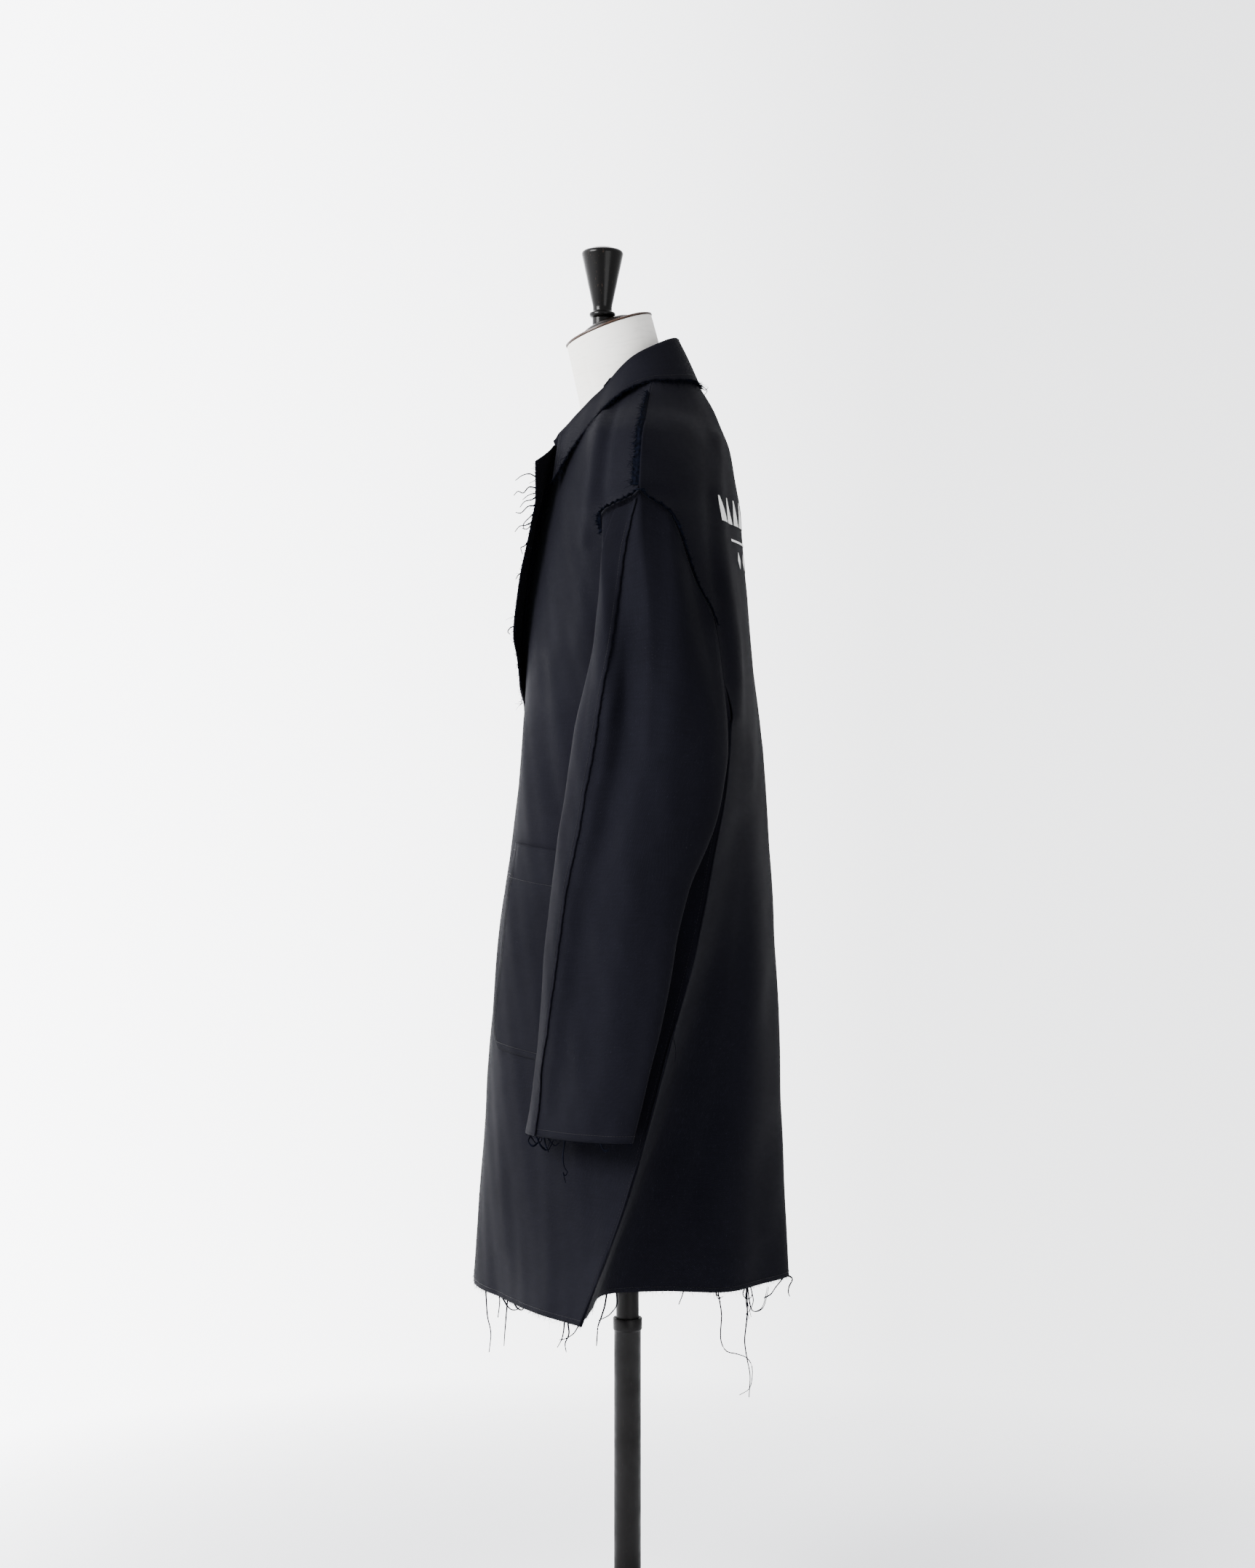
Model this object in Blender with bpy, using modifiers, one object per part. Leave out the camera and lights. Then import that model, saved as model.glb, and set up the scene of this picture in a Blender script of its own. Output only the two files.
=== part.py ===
"""A chesterfield coat worn by a limbless dress form on its pole stand.

The coat's front faces -Y, the wearer's left is +X and the floor is Z = 0. The pole is the Z axis.
Each cut piece of cloth is a closed wall, lofted through half sections given at a few heights.
"""

import math

import bmesh
import bpy
import numpy as np

MM = 0.001

# Cloth
WALL = 1.6 * MM
SEAM_GAP = 0.3 * MM
LAYER_GAP = 0.45 * MM
STRIP_WALL = 1.3 * MM
FRILL_LIFT = 1.2 * MM
FRILL_INSET = 1.7 * MM
FRILL_REACH = 5
FRILL_HEIGHT = (4.4 * MM, 1.3 * MM)
PANEL_INSET = 0.1 * MM
SLEEVE_INSET = 0.9 * MM
SHOULDER_LIFT = 0.6 * MM
SHOULDER_ALLOWANCE = 9 * MM
ROLL_RADIUS = 2.4 * MM

# Heights where pieces start and stop
HEM = 456 * MM
UNDERARM = 1134 * MM
BREAK_LEFT = 1155 * MM
BREAK_RIGHT = 1222 * MM
GORGE = 1470 * MM
SHOULDER_TIP = 1400 * MM
SLEEVE_FULL = 1075 * MM
ROLLS_MEET = (1290 * MM, 1400 * MM)
NAPE_RISES = (1500 * MM, 1538 * MM)
SHOULDER_SEAM_TOP = 1520 * MM
POCKET_TOP = 990 * MM
POCKET_BOTTOM = 745 * MM

# The right front lies under the left one near the centre
UNDERLAP_DEPTH = WALL + 1.9 * MM
UNDERLAP_REACH = 30 * MM
UNDERLAP_FULL = 42 * MM
UNDERLAP_END = 66 * MM
UNDERLAP_TOP = (1250 * MM, 1290 * MM)
RIGHT_ROLL_SHIFT = 13 * MM
RIGHT_SWING = 16 * MM
SWING_ACROSS = (110 * MM, 250 * MM)
RIGHT_LAPEL_FULL = 1270 * MM

# Rows of every body panel, from the hem up
SKIRT_ROWS = (456, 520, 595, 670, 745, 757, 812, 871, 930, 990, 1038, 1086, 1134)
CHEST_ROWS = (1155, 1190, 1222, 1250, 1290, 1330, 1373, 1400)
SHOULDER_ROWS = (1430, 1470, 1486, 1508, 1538)
ROWS = np.array(SKIRT_ROWS + CHEST_ROWS + SHOULDER_ROWS) * MM

# Columns of the panels, counted in stations of the sections below
FRONT_COLUMNS = (0, 0.45, 0.75, 1, 1.12, 1.4, 1.7, 2, 2.3, 2.6, 2.88, 3, 3.25, 3.5, 3.7, 3.88, 4)
BACK_COLUMNS = (0, 0.3, 0.65, 1.1, 1.6, 2, 2.4, 3, 3.5, 4, 4.6, 5.3, 6)
POCKET_FIRST = 3
POCKET_LAST = 11
SLEEVE_STEPS = 2

# Dress form and stand
NECK_TILT = math.radians(20.5)
CAP_CENTRE = (0.0, -22.4 * MM, 1616.8 * MM)
CAP_RADIUS = 55.9 * MM
CAP_RISE = 12.5 * MM
KNOB_Y = -30.9 * MM
KNOB_BASE = 1633 * MM
KNOB_PROFILE = (
    (12.4, 0), (13.2, 0.6), (15.6, 2.6), (16.2, 4.6), (15.2, 6.8), (12.4, 8.6), (12, 12), (12.6, 17),
    (15.6, 31), (19, 47), (22.4, 63), (25.2, 76), (25.7, 79), (24.6, 81.8), (20, 84.2), (11, 87), (3.5, 88),
)
POLE_RADIUS = 16.6 * MM
TUBE_RADIUS = 14.1 * MM
POLE_TOP = 404 * MM
TUBE_FOOT = 120
BASE_RADIUS = 195 * MM
BASE_THICKNESS = 16 * MM


class Sections:
    """Rows of sizes in millimetres under named columns, read at any height between them."""

    def __init__(self, columns, rows):
        self.columns = columns.split()
        self.rows = np.array(rows, float) * MM

    def at(self, height):
        """Each column at a height, by a cubic that never passes its neighbouring rows."""
        x = self.rows[:, 0]
        y = self.rows[:, 1:]
        step = np.diff(x)[:, None]
        slope = np.diff(y, axis=0) / step
        before, after = slope[:-1], slope[1:]
        same_way = before * after > 0
        mean = np.zeros_like(before)
        mean[same_way] = (2 * before * after)[same_way] / (before + after)[same_way]
        tangent = np.vstack([slope[:1], mean, slope[-1:]])
        i = int(np.clip(np.searchsorted(x, height) - 1, 0, len(x) - 2))
        h = step[i]
        t = (height - x[i]) / h
        value = (
            (1 + 2 * t) * (1 - t) ** 2 * y[i]
            + t * (1 - t) ** 2 * h * tangent[i]
            + t * t * (3 - 2 * t) * y[i + 1]
            + t * t * (t - 1) * h * tangent[i + 1]
        )
        return dict(zip(self.columns[1:], value))

    def points(self, height, names):
        """The stations NAME_x, NAME_y at a height, as an array of plan points."""
        sizes = self.at(height)
        return np.array([(sizes[n + "_x"], sizes[n + "_y"]) for n in names.split()])


# The left front from its front edge or roll line round to the side seam, armhole or shoulder seam.
FRONT_STATIONS = "edge fore breast side seam"
FRONT = Sections(
    "height edge_x edge_y fore_x fore_y breast_x breast_y side_x side_y seam_x seam_y",
    (
        (452, -30, -191, 64, -183, 148, -147, 238, -103, 307, -54),
        (600, -30, -178, 63, -172, 145, -132, 216, -74, 270, 3),
        (750, -30, -169, 66, -162, 142, -116, 198, -46, 236, 46),
        (900, -30, -155, 69, -147, 140, -97, 187, -20, 208, 86),
        (1000, -30, -140, 70, -133, 138, -84, 178, -5, 193, 105),
        (1060, -30, -134, 70, -127, 135, -79, 174, 0, 186, 116),
        (1134, -30, -128.5, 68, -121, 132, -75, 170, 0, 178, 121),
        (1155, -30, -128, 69, -118, 131, -76, 168, -20, 176, 70),
        (1190, -14, -127.5, 70, -115, 130, -78, 165, -35, 176, 12),
        (1250, 5, -124, 72, -108, 126, -82, 163, -54, 182, -24),
        (1330, 28, -114, 78, -99, 124, -80, 164, -57, 194, -27),
        (1373, 37, -106.5, 80, -93, 123, -77, 166, -57, 208, -31),
        (1400, 42, -100, 82, -88, 123, -74, 172, -48, 226, 12),
        (1430, 46, -92, 80, -81, 116, -66, 165, -42, 214, 15),
        (1470, 51, -82, 79, -70, 109, -54, 157, -34, 195, 18),
        (1486, 62, -59, 87, -51, 114, -41, 149, -20, 176, 21),
        (1508, 74, -27, 89, -22, 104, -15, 122, 1, 137, 24),
        (1538, 83, 16, 84.5, 19, 86.5, 23, 88, 26, 90, 30),
    ),
)

# The left half of the back from the same seam round the fold to the centre back.
BACK_STATIONS = "seam fold valley flank blade rear nape"
BACK = Sections(
    "height seam_x seam_y fold_x fold_y valley_x valley_y flank_x flank_y blade_x blade_y"
    " rear_x rear_y nape_x nape_y",
    (
        (452, 307, -54, 216, -42, 121, -26, 105, 43, 110, 116, 62, 159, 0, 198),
        (600, 270, 3, 197, 12, 128, 28, 116, 75, 112, 130, 60, 166, 0, 192),
        (750, 236, 46, 187, 55, 142, 72, 126, 108, 108, 143, 58, 169, 0, 187),
        (900, 208, 86, 181, 96, 153, 110, 130, 130, 104, 149, 56, 167, 0, 179),
        (1000, 193, 105, 173, 116, 151, 127, 128, 139, 100, 150, 54, 163, 0, 173),
        (1060, 186, 116, 169, 124, 149, 132, 125, 141, 98, 150, 52, 161, 0, 169),
        (1134, 178, 121, 162, 128, 145, 134, 122, 140, 95, 147, 50, 157, 0, 163),
        (1190, 184, 110, 168, 121, 149, 130, 122, 137, 94, 143, 50, 151, 0, 157),
        (1250, 189, 102, 173, 114, 151, 124, 122, 132, 92, 139, 50, 146, 0, 150.5),
        (1300, 199, 77, 180, 94, 155, 112, 124, 124, 92, 132, 50, 141, 0, 147),
        (1373, 216, 49, 192, 70, 163, 90, 127, 107, 92, 119, 50, 132, 0, 140),
        (1400, 226, 14, 198, 52, 166, 80, 128, 100, 92, 114, 50, 129, 0, 137.5),
        (1430, 214, 15, 192, 45, 160, 74, 125, 94, 90, 109, 50, 124, 0, 132),
        (1470, 195, 18, 173, 41, 145, 65, 116, 84, 84, 99, 48, 115, 0, 125),
        (1486, 176, 21, 157, 41, 134, 62, 108, 79, 79, 93, 45, 108, 0, 119),
        (1508, 137, 24, 125, 39, 108, 55, 88, 71, 65, 85, 37, 98, 0, 110),
        (1538, 90, 30, 84, 41, 74, 52, 61, 62, 45, 70, 24, 77, 0, 80),
    ),
)
NAPE_RISE = 20 * MM

# The lapel's outer edge, row by row from the break to the peak: where its roll is, and the edge.
LAPEL = Sections(
    "roll height edge_x edge_y",
    (
        (1155, 1155, -30, -131),
        (1190, 1186, 16, -132.5),
        (1222, 1214, 34, -135),
        (1250, 1240, 47, -139),
        (1290, 1277, 61, -135),
        (1330, 1314, 74, -129),
        (1373, 1352, 85, -120),
        (1400, 1377, 92, -114.5),
        (1430, 1403, 99, -110),
        (1470, 1444, 109, -110),
    ),
)

# Each lapel row turns round the roll at these places, in roll radii, then runs on to its edge.
LAPEL_TURN = ((-1, -1), (0, -2))
LAPEL_PLACES = (0.3, 0.62, 0.88, 1.0)
LAPEL_SAG = 2 * MM

# Where the sleeve's stations meet the armhole, in per cent of the way round it: from the shoulder
# tip down behind, under the arm and up in front.
ARMHOLE_PLACES = (0, 6.7, 18.6, 36, 44.6, 52.7, 62.8, 73.2, 85.3, 92, 96)

# The hanging sleeve, flat from front edge to back edge, with its fullness out of and into that line.
SLEEVE = Sections(
    "height front_x front_y back_x back_y out in groove",
    (
        (654, 190, -116, 287, 5, 27, 14, 84),
        (706, 189, -107, 278, 19, 29, 16, 80),
        (748, 188, -103, 271, 29, 31, 17, 78),
        (813, 187, -97, 262, 43, 34, 18, 74),
        (935, 190, -86, 245, 69, 40, 18, 74),
        (1025, 193, -74, 222, 105, 46, 16, 66),
        (1134, 196, -60, 192, 122, 52, 10, 45),
    ),
)
# Stations round the sleeve: how far along that line, and how much of the fullness, in per cent.
SLEEVE_RING = (
    (50, 100),
    (72, 90),
    (92, 50),
    (100, 0),
    (84, -85),
    (50, -100),
    (16, -85),
    (0, 0),
    (9, 52),
    (21, 80),
    (33, 100),
)
GROOVE_STATION = 10
LAP_COLUMNS = (15, 18)
SLEEVE_BLEND = (0.0, 0.14, 0.3, 0.48, 0.66, 0.84, 1.0)
SLEEVE_CAP_BULGE = 11 * MM
SLEEVE_STANDS_OUT = 0.8 * MM
SLEEVE_ROWS = np.array((657, 690, 730, 775, 820, 870, 920, 975, 1025, 1075)) * MM

# The collar from the nape to its front corner, each row in x, y, z of its seat on the neck seam,
# then of its crease and of its outer edge.
COLLAR = (
    (0, 76, 1561, 0, 60.5, 1606, 0, 89, 1551),
    (41, 67, 1558, 37, 53.5, 1601, 49, 77, 1549.5),
    (67, 50, 1550, 59, 35, 1591, 79, 53, 1545),
    (82, 26, 1542, 71, 13, 1579, 96, 27, 1543.5),
    (80, 0, 1530.5, 69, -7, 1564, 104, 2, 1537),
    (72, -28, 1512, 65, -32, 1536, 109, -22, 1520),
    (62, -57, 1491, 58, -58, 1509, 110, -47, 1486),
    (53, -80, 1474.5, 50, -82, 1485, 99, -90, 1422),
)
COLLAR_STEPS = 2

# The dress form: half width, front and back of each section, and how boxy the section is.
TORSO = Sections(
    "height half front back box",
    (
        (815, 140, -96, 108, 2300),
        (822, 151, -104, 117, 2300),
        (900, 164, -112, 132, 2300),
        (980, 150, -104, 122, 2250),
        (1060, 131, -93, 102, 2200),
        (1160, 140, -99, 104, 2200),
        (1270, 158, -108, 113, 2250),
        (1360, 172, -97, 115, 2300),
        (1415, 182, -84, 108, 2200),
        (1440, 187, -72, 102, 2000),
        (1458, 188, -65, 95, 1800),
        (1472, 183.4, -60, 90, 1560),
        (1484, 170.4, -57, 84, 1360),
        (1500, 128, -56, 75, 1140),
        (1512, 90, -57, 66, 1250),
        (1526, 64, -59, 59, 1800),
        (1550, 56.5, -64, 53, 2000),
    ),
)

# Loose threads at the hem of each panel: how far round it, then length, sideways swing and curl.
HEM_THREADS = {
    "left": ((0.22, 86, 4, 6), (0.33, 74, -7, 3), (0.86, 38, -10, 9), (0.93, 34, -12, 12)),
    "right": ((0.2, 60, 8, 6), (0.55, 96, -6, 8), (0.9, 44, 9, 9)),
    "back": (
        (0.1, 66, -9, 7),
        (0.18, 58, 8, 5),
        (0.37, 112, 16, 14),
        (0.44, 128, 6, 9),
        (0.47, 52, 9, 12),
        (0.5, 36, 5, 8),
        (0.62, 70, -12, 10),
        (0.78, 48, 7, 6),
    ),
}
# The same at the cuffs, from the back edge forwards.
CUFF_THREADS = ((0.24, 17, 3, 4), (0.34, 19, 5, 5), (0.42, 24, -3, 4), (0.5, 58, 4, 5))

CUFF_START = 10
STUB_SPACING = 34 * MM
STUB_LENGTH = (3 * MM, 8 * MM)
FRAY_HEIGHT = 3 * MM
FRAY_WALL = 1.0 * MM
FRAY_END = 4.5 * MM
THREAD_WIDTH = 1.0 * MM
THREAD_SEGMENTS = 4
SHORT_THREAD = 12 * MM


def lerp(a, b, t):
    return a + (b - a) * t


def smoothstep(low, high, x):
    t = np.clip((x - low) / (high - low), 0, 1)
    return t * t * (3 - 2 * t)


def unit(vectors):
    return vectors / np.maximum(np.linalg.norm(vectors, axis=-1, keepdims=True), 1e-12)


def through(stations, places, closed=False):
    """Points at the given places of a smooth curve through the stations, counted 0, 1, 2 ...

    It is a centripetal Catmull-Rom curve, so uneven stations give no loops.
    """
    p = np.asarray(stations, float)
    n = len(p)
    if closed:
        p = np.vstack([p[-1:], p, p[:2]])
    else:
        p = np.vstack([2 * p[0] - p[1], p, 2 * p[-1] - p[-2]])
    points = []
    for place in places:
        i = min(int(place), (n if closed else n - 1) - 1)
        a, b, c, d = p[i : i + 4]
        knots = [0.0]
        for start, end in ((a, b), (b, c), (c, d)):
            knots.append(knots[-1] + max(np.linalg.norm(end - start), 1e-9) ** 0.5)
        k0, k1, k2, k3 = knots
        t = lerp(k1, k2, place - i)
        ab = lerp(a, b, (t - k0) / (k1 - k0))
        bc = lerp(b, c, (t - k1) / (k2 - k1))
        cd = lerp(c, d, (t - k2) / (k3 - k2))
        abc = lerp(ab, bc, (t - k0) / (k2 - k0))
        bcd = lerp(bc, cd, (t - k1) / (k3 - k1))
        points.append(lerp(abc, bcd, (t - k1) / (k2 - k1)))
    return np.array(points)


def mirrored(points):
    return points * np.array((-1, 1, 1))


def front_row(height, right=False):
    """One row of the left front, or of the right front before it is mirrored."""
    stations = FRONT.points(height, FRONT_STATIONS)
    if right:
        roll = smoothstep(BREAK_LEFT, BREAK_RIGHT, height) * (1 - smoothstep(*ROLLS_MEET, height))
        stations[0, 0] += RIGHT_ROLL_SHIFT * roll
    row = through(stations, FRONT_COLUMNS)
    if right:
        row[:, 1] += right_swing(row[:, 0], height)
        over = through(FRONT.points(height, FRONT_STATIONS), FRONT_COLUMNS)
        across = np.clip(-row[:, 0], -UNDERLAP_REACH, UNDERLAP_REACH)
        step = np.interp(across, over[:, 0], over[:, 1]) - np.interp(-across, over[:, 0], over[:, 1])
        under = 1 - smoothstep(UNDERLAP_FULL, UNDERLAP_END, row[:, 0])
        under *= 1 - smoothstep(*UNDERLAP_TOP, height)
        row[:, 1] += (UNDERLAP_DEPTH + step) * under
    return np.column_stack([row, np.full(len(row), height)])


def back_row(height, right=False):
    """One row of half the back, from the side to the centre."""
    row = through(BACK.points(height, BACK_STATIONS), BACK_COLUMNS)
    if right:
        row[:, 1] += right_swing(row[:, 0], height)
    rise = NAPE_RISE * smoothstep(*NAPE_RISES, height)
    toward_nape = 1 - np.clip(row[:, 0] / row[0, 0], 0, 1)
    return np.column_stack([row, height + rise * smoothstep(0, 1, toward_nape)])


def right_swing(x, height):
    """The right side's fold hangs a little further back than the left one's."""
    return RIGHT_SWING * smoothstep(UNDERARM, HEM, height) * smoothstep(*SWING_ACROSS, x)


def grid_faces(rows, columns, start=0, around=False):
    """Quads of a grid of points, wound so that they face out."""
    i, j = np.meshgrid(np.arange(rows - 1), np.arange(columns if around else columns - 1), indexing="ij")
    a = start + i * columns + j
    b = start + i * columns + (j + 1) % columns
    quads = np.stack([a, b, b + columns, a + columns], axis=-1)
    return [tuple(int(v) for v in q) for q in quads.reshape(-1, 4)]


def vertex_normals(points, faces):
    """Mean of the normals of the faces that meet at each point."""
    normals = np.zeros_like(points)
    for face in faces:
        corner = points[list(face)]
        if len(face) == 4:
            normal = np.cross(corner[2] - corner[0], corner[3] - corner[1])
        else:
            normal = np.cross(corner[1] - corner[0], corner[2] - corner[0])
        size = np.linalg.norm(normal)
        if size > 0:
            normals[list(face)] += normal / size**0.5
    return unit(normals)


def triangles(faces):
    """The faces as triangles, with each quad cut from its first corner."""
    cut = []
    for face in faces:
        cut += [(face[0], face[k], face[k + 1]) for k in range(1, len(face) - 1)]
    return cut


def wall(name, points, faces, thickness, normals=None):
    """A closed wall from the points of its outer face, thickened inwards."""
    points = np.asarray(points, float)
    if normals is None:
        normals = vertex_normals(points, faces)
    inner = points - normals * thickness
    outer_faces = triangles(faces)
    count = len(points)
    edges = {}
    for face in outer_faces:
        for k in range(3):
            edges[(face[k], face[(k + 1) % 3])] = True
    rim = []
    for a, b in edges:
        if (b, a) not in edges:
            rim += [(b, a, a + count), (b, a + count, b + count)]
    inner_faces = [tuple(v + count for v in reversed(face)) for face in outer_faces]
    return solid(name, np.vstack([points, inner]), outer_faces + inner_faces + rim)


def solid(name, points, faces):
    mesh = bpy.data.meshes.new(name)
    mesh.from_pydata([tuple(p) for p in points], [], [tuple(f) for f in faces])
    mesh.validate()
    piece = bpy.data.objects.new(name, mesh)
    collection().objects.link(piece)
    return piece


def collection():
    found = bpy.data.collections.get("chesterfield_coat")
    if found is None:
        found = bpy.data.collections.new("chesterfield_coat")
        bpy.context.scene.collection.children.link(found)
    return found


def material(name, colour, roughness, metallic=0.0):
    found = bpy.data.materials.get(name)
    if found is None:
        found = bpy.data.materials.new(name)
        found.use_nodes = True
        shader = found.node_tree.nodes["Principled BSDF"]
        shader.inputs["Base Color"].default_value = (*colour, 1.0)
        shader.inputs["Roughness"].default_value = roughness
        shader.inputs["Metallic"].default_value = metallic
        found.diffuse_color = (*colour, 1.0)
    return found


def paint(piece, finish):
    piece.data.materials.clear()
    piece.data.materials.append(finish)
    return piece


def drawn_in(rows, edge, normals, sewn):
    """Rows whose points at an edge are pulled in from it: square to the seam's normal where sewn."""
    rows = rows.copy()
    beside = 1 if edge == 0 else -2
    inward = rows[:, beside] - rows[:, edge]
    square = inward - normals * np.sum(inward * normals, axis=1, keepdims=True)
    inward[sewn] = square[sewn]
    rows[:, edge] += unit(inward) * (SEAM_GAP / 2 + PANEL_INSET)
    return rows


def seam_normals(front_rows, back_rows):
    """Shared normals of the seam where a front and a back meet, at every row."""
    joined = np.concatenate([front_rows, back_rows[:, 1:]], axis=1)
    count = joined.shape[1]
    flat = joined.reshape(-1, 3)
    normals = vertex_normals(flat, grid_faces(len(joined), count)).reshape(len(joined), count, 3)
    return normals[:, front_rows.shape[1] - 1]


class Body:
    """The rows of both fronts and the back, with the normals that their seams share."""

    def __init__(self):
        self.front = {s: np.array([front_row(h, s == "right") for h in ROWS]) for s in ("left", "right")}
        self.back = {s: np.array([back_row(h, s == "right") for h in ROWS]) for s in ("left", "right")}
        self.seam = {s: seam_normals(self.front[s], self.back[s]) for s in ("left", "right")}
        self.sewn = (ROWS <= UNDERARM + 1e-6) | (ROWS >= SHOULDER_TIP - 1e-6)


def front_panel(body, side):
    """A front with its lapel, which turns back from the roll line between the break and the gorge."""
    rows = drawn_in(body.front[side], -1, body.seam[side], body.sewn)
    count, columns = rows.shape[:2]
    points = rows.reshape(-1, 3)
    faces = grid_faces(count, columns)
    normals = vertex_normals(points, faces)
    seam_at = np.arange(count) * columns + columns - 1
    normals[seam_at[body.sewn]] = body.seam[side][body.sewn]

    break_height = BREAK_LEFT if side == "left" else BREAK_RIGHT
    lapel_rows = [i for i, h in enumerate(ROWS) if break_height - 1e-6 <= h <= GORGE + 1e-6]
    previous = [lapel_rows[0] * columns] * (1 + len(LAPEL_TURN) + len(LAPEL_PLACES))
    extra = []
    extra_faces = []
    for i in lapel_rows[1:]:
        roll = points[i * columns]
        line = lapel_line(roll, ROWS[i], side)
        indices = [i * columns] + [len(points) + len(extra) + k for k in range(len(line))]
        extra += list(line)
        for k in range(len(indices) - 1):
            low, high = [previous[k + 1], previous[k]], [indices[k], indices[k + 1]]
            extra_faces.append(tuple(low[low[0] == low[1] :] + high))
        previous = indices
    all_points = np.vstack([points, np.array(extra)])
    all_faces = faces + extra_faces
    all_normals = vertex_normals(all_points, all_faces)
    all_normals[seam_at[body.sewn]] = normals[seam_at[body.sewn]]
    if side == "right":
        all_points = mirrored(all_points)
        all_normals = mirrored(all_normals)
        all_faces = [tuple(reversed(f)) for f in all_faces]
    piece = wall("coat_front_" + side, all_points, all_faces, WALL, all_normals)
    return paint(piece, cloth())


def lapel_line(roll, height, side):
    """Points of one lapel row: round the roll, then out to the lapel's edge."""
    sizes = LAPEL.at(height)
    if side == "right":
        grown = smoothstep(BREAK_RIGHT, RIGHT_LAPEL_FULL, height)
        sizes["edge_x"] = lerp(roll[0] + 2 * MM, sizes["edge_x"], grown)
        sizes["height"] = lerp(height, sizes["height"], grown)
    edge = np.array((sizes["edge_x"], sizes["edge_y"] + WALL, sizes["height"]))
    turn = [roll + np.array((x * ROLL_RADIUS, y * ROLL_RADIUS, 0)) for x, y in LAPEL_TURN]
    sag = np.array((0, LAPEL_SAG, 0))
    out = [lerp(turn[-1], edge, t) + sag * math.sin(math.pi * t) for t in LAPEL_PLACES]
    return turn + out


def back_panel(body):
    left, right = (drawn_in(body.back[s], 0, body.seam[s], body.sewn) for s in ("left", "right"))
    rows = np.concatenate([left, mirrored(right[:, -2::-1])], axis=1)
    count, columns = rows.shape[:2]
    points = rows.reshape(-1, 3)
    faces = grid_faces(count, columns)
    normals = vertex_normals(points, faces)
    first = np.arange(count) * columns
    normals[first[body.sewn]] = body.seam["left"][body.sewn]
    normals[first[body.sewn] + columns - 1] = mirrored(body.seam["right"][body.sewn])
    return paint(wall("coat_back", points, faces, WALL, normals), cloth())


def sleeve_ring(height):
    """The closed section of the hanging sleeve at a height."""
    size = SLEEVE.at(height)
    front = np.array((size["front_x"], size["front_y"]))
    back = np.array((size["back_x"], size["back_y"]))
    along = back - front
    outward = unit(np.array((along[1], -along[0])))
    stations = []
    for k, (place, fullness) in enumerate(SLEEVE_RING):
        depth = size["out"] if fullness > 0 else size["in"]
        if k == GROOVE_STATION:
            depth = depth * size["groove"] / (100 * MM)
        stations.append(front + along * place / 100 + outward * depth * fullness / 100)
    places = np.arange(len(stations) * SLEEVE_STEPS) / SLEEVE_STEPS
    ring = through(stations, places, closed=True)
    return np.column_stack([ring, np.full(len(ring), height)])


def armhole_ring(body):
    """Points on the open edge that the left front and the back leave for the sleeve."""
    open_rows = [i for i, h in enumerate(ROWS) if UNDERARM - 1e-6 <= h <= SHOULDER_TIP + 1e-6]
    behind = body.back["left"][open_rows, 0][::-1]
    before = body.front["left"][open_rows, -1]
    edge = np.vstack([behind, before[1:]])
    length = np.concatenate([[0], np.cumsum(np.linalg.norm(np.diff(edge, axis=0), axis=1))])
    steps = np.append(ARMHOLE_PLACES, 100.0)
    count = len(ARMHOLE_PLACES) * SLEEVE_STEPS
    wanted = np.interp(np.arange(count) / SLEEVE_STEPS, np.arange(len(steps)), steps) / 100 * length[-1]
    return np.column_stack([np.interp(wanted, length, edge[:, k]) for k in range(3)])


def sleeve_rows(body):
    """All rings of the left sleeve, from the cuff up to the armhole."""
    armhole = armhole_ring(body)
    centre = armhole.mean(axis=0)
    inset = unit(centre - armhole) * SLEEVE_INSET
    top = armhole + inset + np.array((SLEEVE_STANDS_OUT, 0, 0))
    full = sleeve_ring(SLEEVE_FULL)
    rings = [sleeve_ring(h) for h in SLEEVE_ROWS]
    outer = np.clip((full[:, 0] - full[:, 0].mean()) / (np.ptp(full[:, 0]) / 2), 0, 1)
    for blend in SLEEVE_BLEND[-2::-1]:
        ring = lerp(top, full, blend)
        ring[:, 0] += SLEEVE_CAP_BULGE * math.sin(math.pi * blend) * outer
        rings.append(ring)
    return np.array(rings)


def sleeve(side, rows):
    count, around = rows.shape[:2]
    points = rows.reshape(-1, 3)
    faces = grid_faces(count, around, around=True)
    if side == "right":
        points = mirrored(points)
        faces = [tuple(reversed(f)) for f in faces]
    return paint(wall("sleeve_" + side, points, faces, WALL), cloth())


def ribbon(name, points, faces, lift, thickness, side):
    """A second layer over a panel: its points moved out, then thickened outwards."""
    normals = vertex_normals(points, faces)
    outer = points + normals * (lift + thickness)
    if side == "right":
        outer = mirrored(outer)
        normals = mirrored(normals)
        faces = [tuple(reversed(f)) for f in faces]
    used = sorted({v for f in faces for v in f})
    index = {v: k for k, v in enumerate(used)}
    faces = [tuple(index[v] for v in f) for f in faces]
    return paint(wall(name, outer[used], faces, thickness, normals[used]), cloth())


def sleeve_lap(side, rows):
    """The fore part of the sleeve, whose raw edge laps over the main part."""
    count, around = rows.shape[:2]
    points = rows.reshape(-1, 3)
    faces = grid_faces(count, around, around=True)
    first, last = LAP_COLUMNS
    wanted = []
    for face in faces:
        columns = sorted({v % around for v in face})
        inside = first <= columns[0] and columns[-1] <= last
        if inside and min(face) // around < count - 2:
            wanted.append(face)
    return ribbon("sleeve_lap_" + side, points, wanted, LAYER_GAP, STRIP_WALL, side)


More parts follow.
